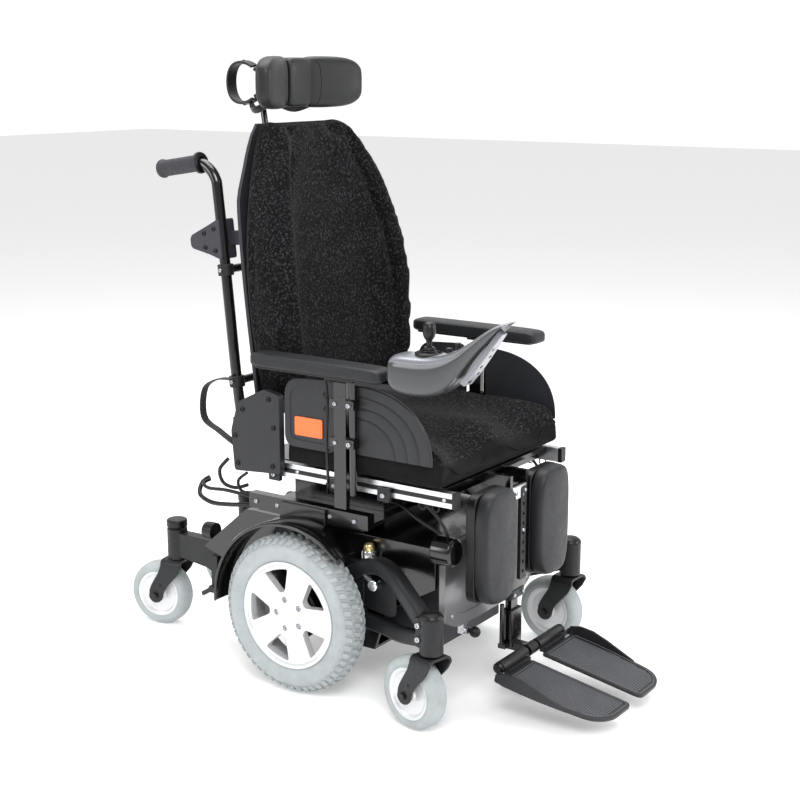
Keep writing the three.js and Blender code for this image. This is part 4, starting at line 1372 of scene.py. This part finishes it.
def back_shell(body):
    """The moulded pan behind the cushion: a bowed sheet that wraps a little way round its sides."""
    rings = []
    for k in range(29):
        z = 60 + 630 * k / 28
        half, = between([(60, 188), (90, 197), (520, 197), (600, 166), (660, 136), (690, 112)], z)
        row = []
        for i in range(21):
            share = -1 + i / 10
            x = half * share
            bow = -14 - 12 * abs(share) ** 3.2
            row.append((x, bow, z))
        inner = [(x * 0.985, y - 5.0 - (2.0 if abs(x) > half * 0.95 else 0), zz) for x, y,
                 zz in reversed(row)]
        rings.append(row + inner)
    shell = Form().skin(rings)
    piece("back_pan", back_form(shell), body, "shell", bevel=1.4, sharp_deg=42, replaces=["back_shell"])
    bracket = Form().prism(rounded([(6, 410), (6, 500), (40, 486), (92, 466), (92, 440), (40, 424)], 10),
                           "x",
                           -222, -172)
    bracket.prism(rounded([(-20, 440), (20, 440), (20, 470), (-20, 470)], 4), "x", -189, -162)
    piece("back_bracket", back_form(bracket), body, "shell", bevel=5.0, segments=4)
    ribs = Form()
    for x in (-90, 0, 90):
        ribs.prism(rounded([(-24, 120), (-11, 120), (-11, 600), (-24, 600)], 4), "x", x - 4, x + 4)
    piece("back_pan_ribs", back_form(ribs), body, "shell", bevel=1.5)
    heads = Form()
    for y, z in ((22, 478), (22, 432), (50, 470), (50, 440)):
        heads.bolt((-222, y, z), (-1, 0, 0), 5.0, 3.2)
    piece("back_bracket_bolts", back_form(heads), body, "nylon", bevel=0.2)


def wing_loop(half, inner, tip, front, back, count=64):
    """The back cushion's section in plan: flat middle, with wings that reach forward."""
    right = [(0, back), (half * 0.6, back), (half * 0.93, back), (half, back - 12),
             (half + 1, (back + tip) / 2),
             (half - 5, tip + 22), (inner + 16, tip + 3), (inner + 2, tip), (inner - 12, tip + 16),
             (inner - 34, (tip + front) / 2 + 8), (inner - 66, front - 7), (inner - 110, front)]
    left = [(-x, y) for x, y in reversed(right[1:])]
    loop = smooth_line([Vector((x, y)) for x, y in right + left], 5, closed=True)
    return even_loop(loop, count)


BACK_ROWS = [  # height, half width, wing tip across, wing tip forward, middle forward, rear face
    (98, 190, 176, -140, -98, -46), (118, 201, 187, -152, -102, -46), (160, 211, 196, -163, -103, -46),
    (250, 219, 202, -170, -102, -46), (330, 221, 203, -173, -102, -46), (420, 215, 195, -168, -101, -46),
    (500, 199, 178, -156, -99, -46), (570, 180, 157, -142, -95, -46), (630, 158, 134, -126, -91, -47),
    (670, 139, 112, -111, -87, -48), (696, 121, 92, -99, -82, -50),
]


def back_cushion():
    body = BODY_OF["back_cushion"]
    sizes = bpy.context.scene.wheelchair_sizes
    low_z, high_z = BACK_ROWS[0][0], BACK_ROWS[-1][0]
    rings = []
    heights = [low_z, low_z + 2, low_z + 6, low_z + 12, low_z + 22] + [138 + 30 * k for k in range(17)] + \
        [640, 658, 672, 682, 689, 693, high_z]
    for z in heights:
        half, inner, tip, front, back = between(BACK_ROWS, z)
        edge = min(z - low_z, high_z - z)
        pinch = 1.0 if edge > 22 else 0.58 + 0.42 * math.sqrt(max(1 - ((22 - edge) / 22) ** 2, 0))
        middle = (tip + back) / 2
        trim = 0.9 + 0.1 * pinch
        loop = wing_loop(half * trim, inner * trim, middle + (tip - middle) * pinch,
                         middle + (front - middle) * pinch, middle + (back - middle) * pinch)
        rings.append([(p.x, p.y, z) for p in loop])
    form = back_form(Form().skin(rings))
    obj = piece("back_upholstery", form, body, ["fabric", "side"], replaces=["back_cushion"])
    swollen(obj, sizes.back_swell / MM, held=lambda p: off_back(p).y > -55)
    for _, sign in SIDES:
        valley = []
        for z in range(int(low_z) + 12, int(high_z) - 6, 95):
            _, inner, tip, _, _ = between(BACK_ROWS, z)
            valley.append(on_back((sign * (inner - 34), tip + 16, z)))
        creased(obj, laid_on(skin_tree(obj), valley, 0.0), 7.0, 11.0)
    for polygon in obj.data.polygons:
        _, behind, up = off_back(from_frame(polygon.center))
        rear_face = between(BACK_ROWS, up)[-1]
        polygon.material_index = 1 if behind > rear_face - 14 else 0
    return obj


# ---- seat cushion ----
def seat_cushion():
    body = BODY_OF["seat_cushion"]
    sizes = bpy.context.scene.wheelchair_sizes
    low, high = box_of("seat_cushion")
    half = high.x - 8
    front, rear, bottom = low.y + 6, high.y - 4, low.z + 1

    def top_at(x, y):
        """The seat's height: side bolsters, a trough for each thigh and a rise between the knees."""
        share = min(max((rear - y) / (rear - front), 0), 1)
        across = abs(x) / half
        bolster = 22 * max((across - 0.62) / 0.38, 0) ** 1.3 if across > 0.62 else 0
        pommel = 15 * share ** 2 * math.exp(-(x / 46) ** 2)
        trough = -9 * math.exp(-((abs(x) - 118) / 62) ** 2)
        nose = -26 * max((share - 0.86) / 0.14, 0) ** 2
        return high.z - 32 + bolster + pommel + trough + nose

    rings = []
    ys = [rear, rear - 3, rear - 8, rear - 18] + [rear - 18 - 29 * k for k in range(1, 12)] + \
        [front + 30, front + 18, front + 9, front + 3, front]
    for y in ys:
        edge = min(y - front, rear - y)
        pinch = 1.0 if edge > 22 else 0.8 + 0.2 * math.sqrt(max(1 - ((22 - edge) / 22) ** 2, 0))
        row = []
        count = 40
        for k in range(count + 1):
            x = -half + 2 * half * k / count
            taper = 1 - 0.03 * (1 - pinch) / 0.2
            row.append((x * taper, y, bottom + (top_at(x, y) - bottom) * pinch))
        under = [(x, y, bottom + (1 - pinch) * 16) for x in [half * (1 - 2 * k / 12) for k in range(13)]]
        side_right = [(half + 2, y, bottom + (top_at(half, y) - bottom) * 0.62), (half + 2, y, bottom + 22)]
        side_left = [(-half - 2, y, bottom + 22),
                     (-half - 2, y, bottom + (top_at(half, y) - bottom) * 0.62)]
        rings.append(row + side_right + under + side_left)
    form = Form().skin(rings)
    obj = piece("seat_upholstery", form, body, ["fabric", "side"], replaces=["seat_cushion"])
    swollen(obj, sizes.seat_swell / MM, held=lambda p: p.z < bottom + 9)
    for polygon in obj.data.polygons:
        place = from_frame(polygon.center)
        wall = top_at(place.x, place.y) - 16
        outside = abs(place.x) > half - 12 or place.y < front + 26
        polygon.material_index = 1 if place.z < wall and outside else 0
    tree = skin_tree(obj)
    route = [(half * 0.985, rear - 8, top_at(half, rear) - 12)]
    for k in range(1, 12):
        y = rear - 8 + (front + 30 - rear + 8) * k / 12
        route.append((half + 4, y, top_at(half, y) - 12))
    corner = [(half - 4, front + 6, top_at(half, front) - 14)]
    across = []
    for k in range(1, 20):
        x = (half - 4) * (1 - 2 * k / 20)
        across.append((x, front - 4, top_at(x, front + 10) - 16))
    full = route + corner + across + [(-x, y, z) for x, y, z in reversed(corner)] + \
        [(-x, y, z) for x, y, z in reversed(route)]
    welt = Form().swept(laid_on(tree, full, 0.3), sizes.welt / MM, segs=10, steps=4)
    piece("seat_welt", welt, body, "side")
    return obj


# ---- head support ----
def head_support():
    refined("headrest_stem", "frame", 0.8)
    body = BODY_OF["headrest_centre"]
    hy = 190.0
    low, high = box_of("headrest_wing_right")
    bottom, top = low.z, high.z
    middle_z, half_z = (bottom + top) / 2, (top - bottom) / 2
    rings = []
    for x in [-37, -36, -33, -26, -14, 0, 14, 26, 33, 36, 37]:
        edge = 37 - abs(x)
        fade = 0.86 + 0.14 * min(edge / 6, 1)
        section = soft_box(20 * fade, (half_z - 3) * fade, 4.2, 32)
        rings.append([(x, hy - 1 + u + 2.5 * (x / 37) ** 2, middle_z + v) for u, v in section])
    centre = piece("head_pad_centre", Form().skin(rings), body, "headrest", levels=2)
    ears = Form()
    yoke_y, yoke_z = 251.5, 1265.8
    for s in (-1, 1):
        ears.prism(rounded([(hy + 16, yoke_z - 22, 4), (yoke_y + 4, yoke_z - 14, 12),
                            (yoke_y + 13, yoke_z, 12),
                            (yoke_y + 4, yoke_z + 14, 12), (hy + 16, yoke_z + 22, 4)]), "x", s * 14 - 4,
                            s * 14 + 4)
    ears.prism(rounded([(-34, middle_z - 34), (34, middle_z - 34), (34, middle_z + 34),
                        (-34, middle_z + 34)], 10), "y",
               hy + 17, hy + 21)
    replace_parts(piece("head_pad_ears", ears, body, "casting", bevel=1.4), "headrest_centre")
    for side, sign in SIDES:
        head_wing(side, sign, hy, middle_z, half_z)
    mast_body = BODY_OF["headrest_stem"]
    levers = Form()
    for z in (500, 540, 660):
        levers.bolt((0, 40.2, z), (0, 1, 0), 4.8, 3.4)
    piece("head_stem_screws", back_form(levers), mast_body, "zinc", bevel=0.2)
    knob = Form().turned([(0, 24), (9, 24), (11, 26), (11, 34), (9, 37), (0, 38)], (0, 44, 560), "y", 8)
    knob.turned([(0, 0), (4, 0), (4, 26), (0, 26)], (0, 40, 560), "y", 16)
    piece("head_stem_knob", back_form(knob), mast_body, "nylon", bevel=0.8)


def head_wing(side, sign, hy, middle_z, half_z):
    """A side pad of the head support, hinged to the middle one and swept forward."""
    node = "headrest_wing_" + side
    body = BODY_OF[node]
    spread = math.radians(24)
    hinge_x = 60.0
    stations = [(-22, 0.50, 0.80), (-21, 0.72, 0.9), (-17, 0.88, 0.96), (-8, 0.98, 0.99), (10, 1.0, 1.0),
                (40, 1.04, 1.0),
                (74, 1.02, 0.97), (96, 0.96, 0.88), (110, 0.86, 0.74), (118, 0.68, 0.58), (122, 0.36, 0.44)]
    rings = []
    for along, thick, tall in stations:
        section = soft_box(21.5 * thick, half_z * tall, 3.6, 32)
        rings.append([Vector((along, u, middle_z + v)) for u, v in section])
    turn = Matrix.Rotation(-spread, 3, "Z")
    wing = Form().skin(rings).mapped(lambda p: turn @ p + Vector((hinge_x, hy, 0)))
    obj = piece("head_pad_" + side, wing.mirrored(sign), body, "headrest", levels=2, replaces=[node])
    tree = skin_tree(obj)
    route = []
    for k in range(21):
        a = math.radians(-80 + 160 * k / 20)
        along = -2 + 14 * math.cos(a)
        local = Vector((along, -26, middle_z + (half_z - 1) * math.sin(a)))
        place = turn @ local + Vector((hinge_x, hy, 0))
        route.append((place.x * sign, place.y, place.z))
    seam = Form().swept(laid_on(tree, route, 0.1), 1.1, segs=8, steps=3)
    piece(f"head_seam_{side}", seam, body, "headrest")
    ring_x, ring_y, ring_r = 108.0, 244.0, 43.0
    strap = [Vector((ring_x - 10 * math.cos(a) ** 2, ring_y + ring_r * math.cos(a),
                     middle_z + ring_r * math.sin(a)))
             for a in [math.radians(-128 + 256 * k / 24) for k in range(25)]]
    bow = Form().swept(strap, section=soft_box(3.0, 13.0, 6, 16), steps=2, up=(1, 0, 0))
    bow.swept([(ring_x, ring_y - 30, middle_z + 30), (ring_x - 8, ring_y - 52, middle_z + 14)], 5.0,
              segs=12, steps=3)
    bow.swept([(ring_x, ring_y - 30, middle_z - 30), (ring_x - 8, ring_y - 52, middle_z - 14)], 5.0,
              segs=12, steps=3)
    bow.swept([(ring_x, ring_y - 20, middle_z - 44), (ring_x - 40, ring_y + 2, middle_z - 58),
               (ring_x - 84, ring_y + 8, middle_z - 48)], section=soft_box(4.0, 8.0, 5, 12), steps=6,
               up=(0, 0, 1))
    bracket = piece(f"head_bow_{side}", bow.mirrored(sign), body, "casting", bevel=0.8)
    heads = Form()
    for index in (3, 12, 21):
        heads.bolt(strap[index] + Vector((3.0, 0, 0)), (1, 0, 0), 5.0, 3)
    piece(f"head_bow_screws_{side}", heads.mirrored(sign), body, "nylon", bevel=0.2)
    return bracket


# ---- leg support ----
LEG_Y = from_frame(JOINT_AT["legrest_elevation"]).y
HINGE = from_frame(JOINT_AT["footplate_flip_right"])


def leg_column():
    refined("legrest_column", "frame", 2.0)
    refined("foot_tube", "frame", 1.5)
    body = BODY_OF["legrest_column"]
    strip = Form().prism(rounded([(2, 244), (24, 244), (24, 448), (2, 448)], 6), "y", LEG_Y - 18.4,
                         LEG_Y - 13.5)
    plate = piece("leg_hole_strip", strip, body, "casting", bevel=0.8)
    holes = Form()
    for k in range(9):
        holes.turned([(0, 0), (3.6, 0), (3.6, 12), (0, 12)], (13, LEG_Y - 22, 262 + 21 * k), "y", 14)
    carved(plate, holes)
    clamp = Form().prism(rounded([(-28, LEG_Y - 17), (28, LEG_Y - 17), (28, LEG_Y + 17), (-28, LEG_Y + 17)],
                                 5), "z",
                         424, 452)
    piece("leg_clamp", clamp, body, "aluminium", bevel=1.6)
    lower = Form().prism(rounded([(-27, LEG_Y - 16), (27, LEG_Y - 16), (27, LEG_Y + 16), (-27, LEG_Y + 16)],
                                 4), "z",
                         206, 226)
    piece("leg_lower_collar", lower, body, "casting", bevel=1.4)
    screws = Form()
    for x, z in ((-18, 438), (18, 438), (-18, 216), (18, 216), (13, 352)):
        screws.bolt((x, LEG_Y - 17, z), (0, -1, 0), 4.4, 3.2)
    piece("leg_screws", screws, body, "zinc", bevel=0.2)
    foot_body = BODY_OF["foot_tube"]
    sleeve = Form().prism(rounded([(-18, LEG_Y - 13), (25, LEG_Y - 13), (25, LEG_Y + 13),
                                   (-18, LEG_Y + 13)], 5), "z",
                          98, 180)
    piece("foot_sleeve", sleeve, foot_body, "frame", bevel=1.6, segments=3)
    rod = Form().turned([(0, 104), (5, 104), (5, 196), (0, 196)], (-30, LEG_Y + 5, 0), "z", 18)
    rod.box(-35, 16, LEG_Y - 6, LEG_Y + 12, 98, 108)
    piece("foot_side_rod", rod, foot_body, "frame", bevel=0.8)
    ends = Form()
    for s in (-1, 1):
        ends.turned([(0, 0), (10, 0), (12, s * 1.5), (12, s * 5), (9, s * 8), (0, s * 8.5)],
                    (s * 127, HINGE.y, HINGE.z), "x", 28)
    ends.turned([(9.2, -16), (12.5, -16), (13.5, -15), (13.5, 15), (12.5, 16), (9.2, 16)],
                (0, HINGE.y, HINGE.z), "x",
                32, hollow=True)
    piece("foot_tube_caps", ends, foot_body, "nylon", bevel=0.6)


def calf_pads():
    for side, sign in SIDES:
        node = "calf_pad_" + side
        body = BODY_OF[node]
        low, high = box_of(node)
        z0, z1 = low.z, high.z
        x0, x1 = 46.0, 176.0
        middle, half_z = (z0 + z1) / 2, (z1 - z0) / 2
        rings = []
        for share, grow in ((0.0, 0.93), (0.04, 0.97), (0.14, 0.99), (0.4, 1.0), (0.7, 0.985), (0.9, 0.94),
                            (1.0, 0.87)):
            y = -384 - 36 * share
            round_off = 1 - (1 - grow) * 0.5
            section = soft_box((x1 - x0) / 2 * grow, half_z * round_off, 3.6, 40)
            rings.append([((x0 + x1) / 2 + u, y + 7 * (u / 65) ** 2 * share, middle + v) for u,
                          v in section])
        pad = piece("calf_cushion_" + side, Form().skin(rings).mirrored(sign), body, "foam", levels=2,
                    replaces=[node])
        back = Form().prism(rounded([(x0 + 3, z0 + 4), (x1 - 2, z0 + 4), (x1 - 2, z1 - 5),
                                     (x0 + 3, z1 - 5)], 30), "y",
                            -385, -364)
        back.turned([(0, 26.5), (10, 26.5), (10, 78), (0, 78)], (0, -371, 350), "x", 24)
        back.box(60, 96, -382, -364, 332, 368)
        piece("calf_board_" + side, back.mirrored(sign), body, "nylon", bevel=2.4, segments=3)


def foot_plates():
    for side, sign in SIDES:
        node = "footplate_" + side
        body = BODY_OF[node]
        slope = Matrix.Rotation(math.radians(10), 3, "X")
        place = lambda p: slope @ Vector(p) + Vector((0, HINGE.y - 3, HINGE.z - 13))
        plan = rounded([(22, -14, 8), (22, -250, 16), (104, -250, 30), (142, -222, 40), (160, -96, 50),
                        (160, -14, 12)],
                       steps=8)
        base = Form().prism(plan, "z", -5, 2.2)
        plate = piece("foot_plate_" + side, base.mapped(place).mirrored(sign), body, "panel", bevel=2.0,
                      segments=3,
                      replaces=[node])
        inner = rounded([(28, -24, 5), (28, -243, 10), (101, -243, 24), (135, -216, 34), (152, -98, 44),
                         (152, -24, 8)],
                        steps=6)
        carved(plate, Form().prism(inner, "z", 0.6, 8).mapped(place).mirrored(sign))
        # The stud tops are lighter grey, partly as wear and partly as painted highlight on faces lit from above.
        studs = Form()
        pitch = 5.2
        rows = int(213 / pitch)
        for r in range(rows):
            y = -29 - pitch * r
            limit = between([(-243, 98), (-216, 131), (-150, 144), (-98, 149), (-24, 149)], y)[0]
            cells = int((limit - 31) / pitch)
            for c in range(cells):
                x = 32 + pitch * c
                a, b = pitch * 0.40, pitch * 0.22
                studs.skin([[(x - a, y - a, 0.2), (x + a, y - a, 0.2), (x + a, y + a, 0.2),
                             (x - a, y + a, 0.2)],
                            [(x - b, y - b, 1.9), (x + b, y - b, 1.9), (x + b, y + b, 1.9),
                             (x - b, y + b, 1.9)]])
        piece("foot_plate_studs_" + side, studs.mapped(place).mirrored(sign), body, "worn")
        # Painted highlight: a thin lighter line round the tread field stands in for the plate's lit edge.
        edge = [(x, y, 2.4) for x, y in inner]
        line = Form().swept(edge + edge[:1], 0.9, segs=8, smooth=False)
        piece("foot_plate_line_" + side, line.mapped(place).mirrored(sign), body, "worn")
        lip = Form()
        rings = []
        for y, height, x in ((-6, 16, 157), (-30, 25, 158), (-62, 26, 158), (-98, 19, 157), (-134, 10, 155),
                             (-170, 3, 150)):
            rings.append([(x - 3, y, -4), (x + 2.5, y, -4), (x + 2.5, y, height), (x - 3, y, height)])
        lip.skin(rings)
        heel = []
        for x, height in ((157, 12), (140, 11), (128, 8)):
            heel.append([(x, -3, -4), (x, -8, -4), (x, -8, height), (x, -3, height)])
        lip.skin(heel)
        piece("foot_plate_lip_" + side, lip.mapped(place).mirrored(sign), body, "panel", bevel=1.8,
              segments=3)
        sleeve = Form().turned([(9.6, 24), (12, 24), (12.6, 25), (12.6, 125), (12, 126), (9.6, 126)],
                               (0, 0, 0), "x", 36,
                               hollow=True)
        sleeve.box(30, 118, -20, -6, -16, -4)
        sleeve.mapped(lambda p: Vector(p) + Vector((0, HINGE.y, HINGE.z)))
        piece("foot_hinge_" + side, sleeve.mirrored(sign), body, "casting", bevel=0.8)


# ---- cables ----
def cables():
    body = BODY_OF["control_cable"]
    lead = Form().swept([(-266, -88, 690), (-267, -92, 640), (-268, -90, 560), (-266, -90, 500),
                         (-256, -84, 462),
                         (-238, -70, 440)], 3.0, segs=12, steps=10)
    piece("control_lead", lead, body, "jacket", replaces=["control_cable"])
    ties = Form()
    for z in (648, 540, 470):
        ties.turned([(3.0, z - 1.6), (4.4, z - 1.6), (4.4, z + 1.6), (3.0, z + 1.6)], (-267, -91, 0), "z",
                    16, hollow=True)
    piece("cable_ties", ties, body, "nylon", bevel=0.3)
    for side, sign in SIDES:
        looms = Form()
        looms.swept([(214, 120, 372), (226, 160, 372), (232, 210, 366), (230, 260, 362), (222, 300, 372),
                     (200, 312, 392),
                     (188, 300, 404)], 5.0, segs=12)
        looms.swept([(214, 112, 380), (224, 160, 392), (228, 220, 396), (226, 270, 392), (214, 296, 396),
                     (196, 292, 402)],
                    4.0, segs=12)
        looms.swept([(232, 206, 470), (238, 226, 444), (232, 222, 414), (222, 196, 404), (210, 170, 412)],
                    4.0, segs=12)
        looms.swept([(236, 150, 448), (240, 172, 428), (234, 168, 404), (224, 140, 400)], 3.4, segs=12)
        looms.swept([(214, -296, 446), (208, -318, 424), (196, -330, 396), (180, -330, 366),
                     (168, -326, 340)], 3.2,
                    segs=12)
        looms.swept([(150, -150, 410), (168, -200, 420), (176, -250, 400), (164, -300, 372)], 4.0, segs=12)
        piece(f"wiring_loops_{side}", looms.mirrored(sign), body, "jacket")


# ---- stage ----
CAMERA_AT = Vector((-2.5781, -1.8183, 1.3038))
CAMERA_AIMS_AT = Vector((0.2132, 0.1010, 0.5353))
LIGHTS_AIM_AT = Vector((0, 0, 0.6))
LENS_MM = 66.73
SENSOR_MM = 36.0
DIM_ROOM, BRIGHT_BACKDROP = 0.4, 1.05
TABLE_GLOW = 0.24
AREA_LIGHTS = [  # name, place, width in metres, watts
    ("key", (-2.6, -2.2, 3.2), 1.8, 120), ("fill", (-3.4, 2.4, 1.8), 1.6, 50),
    ("top", (0.2, 0.4, 3.6), 2.6, 110), ("front", (1.6, -3.4, 1.8), 1.6, 60),
]


def studio():
    scene = bpy.context.scene
    camera = bpy.data.objects.new("camera", bpy.data.cameras.new("camera"))
    camera.location = CAMERA_AT
    towards = CAMERA_AIMS_AT - CAMERA_AT
    camera.rotation_euler = towards.to_track_quat("-Z", "Y").to_euler()
    camera.data.lens = LENS_MM
    camera.data.sensor_width = SENSOR_MM
    scene.collection.objects.link(camera)
    scene.camera = camera
    scene.view_settings.view_transform = "Standard"

    # A white cyclorama behind the object and a dimmer room behind the camera, which keeps black parts
    # black.
    world = bpy.data.worlds.new("studio")
    world.use_nodes = True
    background = world.node_tree.nodes["Background"]
    background.inputs["Color"].default_value = linear("#FFFFFF")
    heading = add_node(world, "ShaderNodeTexCoord").outputs["Generated"]
    ahead = add_node(world, "ShaderNodeVectorMath", {0: heading, 1: (0.82, 0.57, 0.0)},
                     operation="DOT_PRODUCT")
    level = add_node(world, "ShaderNodeMapRange",
                     {"Value": ahead.outputs["Value"], "From Min": 0.1, "From Max": 0.6,
                                                   "To Min": DIM_ROOM, "To Max": BRIGHT_BACKDROP})
    wire(world, level.outputs["Result"], background.inputs["Strength"])
    scene.world = world

    size = scene.wheelchair_sizes.floor
    mesh = bpy.data.meshes.new("floor")
    half = size / 2
    mesh.from_pydata([(-half, -half, 0), (half, -half, 0), (half, half, 0), (-half, half, 0)], [],
                     [(0, 1, 2, 3)])
    floor = bpy.data.objects.new("floor", mesh)
    scene.collection.objects.link(floor)
    # An opal acrylic table lit from below, as product studios use, keeps the ground white around the
    # shadow.
    material, shader, _ = finish("backlit_opal_acrylic_table", Roughness=0.9, IOR=1.45,
                                 Emission_Strength=TABLE_GLOW)
    shader.inputs["Base Color"].default_value = linear("#FAFAFA")
    shader.inputs["Emission Color"].default_value = linear("#FFFFFF")
    mesh.materials.append(material)

    for name, place, width, watts in AREA_LIGHTS:
        data = bpy.data.lights.new(name, "AREA")
        data.energy = watts
        data.size = width
        light = bpy.data.objects.new(name, data)
        light.location = place
        light.rotation_euler = (LIGHTS_AIM_AT - Vector(place)).to_track_quat("-Z", "Y").to_euler()
        scene.collection.objects.link(light)


# ---- operators ----
def make_operator(idname, label, text, work):
    """An operator that runs one group's builder."""
    def execute(self, context):
        if not MATERIALS:
            MATERIALS.update(all_materials())
        work()
        return {"FINISHED"}
    return type("WHEELCHAIR_OT_" + idname, (bpy.types.Operator,),
                {"bl_idname": "wheelchair." + idname, "bl_label": label, "__doc__": text,
                 "execute": execute})


def build_drive_wheels():
    for side, sign in SIDES:
        drive_tyre("tyre_" + side, side, sign)
        drive_rim(side, sign)


def build_casters():
    for where in ("front", "rear"):
        for side, _ in SIDES:
            caster(where, side)


OPERATORS = [
    make_operator("stage", "Studio stage", "Camera, floor and soft lights", studio),
    make_operator("drive_wheels", "Drive wheels", "Treaded tyres on five-spoke rims", build_drive_wheels),
    make_operator("casters", "Casters", "Forks, tyres and hubs of the four casters", build_casters),
    make_operator("base", "Base", "Chassis, arms, dampers, mudguards and caps", chassis),
    make_operator("battery_cover", "Battery cover", "Lacquered cover with its screws and release knob",
                  battery_cover),
    make_operator("rails", "Seat rails", "Aluminium rails with caps, clamps and screws", seat_rails),
    make_operator("panels", "Side panels", "Grooved fan panel, skirt panel, reflector and rear cover",
                  side_panels),
    make_operator("armrests", "Armrests", "Posts, rods and foam pads", arm_pads),
    make_operator("joystick", "Joystick", "Pod, stick, gaiter and keys", joystick),
    make_operator("back_structure", "Back structure", "Tubes, handles, clamps and moulded pan",
                  back_structure),
    make_operator("back_cushion", "Back cushion", "Winged cushion with sewn welts", back_cushion),
    make_operator("seat_cushion", "Seat cushion", "Contoured cushion with its welt", seat_cushion),
    make_operator("head_support", "Head support", "Three coated pads on a curved bow", head_support),
    make_operator("leg_column", "Leg column", "Column, hole strip, collars and foot tube", leg_column),
    make_operator("calf_pads", "Calf pads", "Foam pads on their boards", calf_pads),
    make_operator("foot_plates", "Foot plates", "Studded plates with raised heel edges", foot_plates),
    make_operator("cables", "Cables", "Control lead and wiring loops", cables),
]


class WHEELCHAIR_PT_panel(bpy.types.Panel):
    """The builder's panel in the sidebar."""
    bl_label = "Wheelchair"
    bl_idname = "WHEELCHAIR_PT_panel"
    bl_space_type = "VIEW_3D"
    bl_region_type = "UI"
    bl_category = "Wheelchair"

    def draw(self, context):
        for group in (context.scene.wheelchair_sizes, context.scene.wheelchair_colours):
            for name in group.__annotations__:
                self.layout.prop(group, name)
        for operator in OPERATORS:
            self.layout.operator(operator.bl_idname)


CLASSES = [WheelchairColours, WheelchairSizes, *OPERATORS, WHEELCHAIR_PT_panel]


def register():
    for cls in CLASSES:
        bpy.utils.register_class(cls)
    bpy.types.Scene.wheelchair_colours = bpy.props.PointerProperty(type=WheelchairColours)
    bpy.types.Scene.wheelchair_sizes = bpy.props.PointerProperty(type=WheelchairSizes)


def unregister():
    del bpy.types.Scene.wheelchair_sizes
    del bpy.types.Scene.wheelchair_colours
    for cls in reversed(CLASSES):
        bpy.utils.unregister_class(cls)


def main():
    register()
    for operator in OPERATORS:
        group, name = operator.bl_idname.split(".")
        getattr(getattr(bpy.ops, group), name)()


if __name__ == "__main__":
    main()
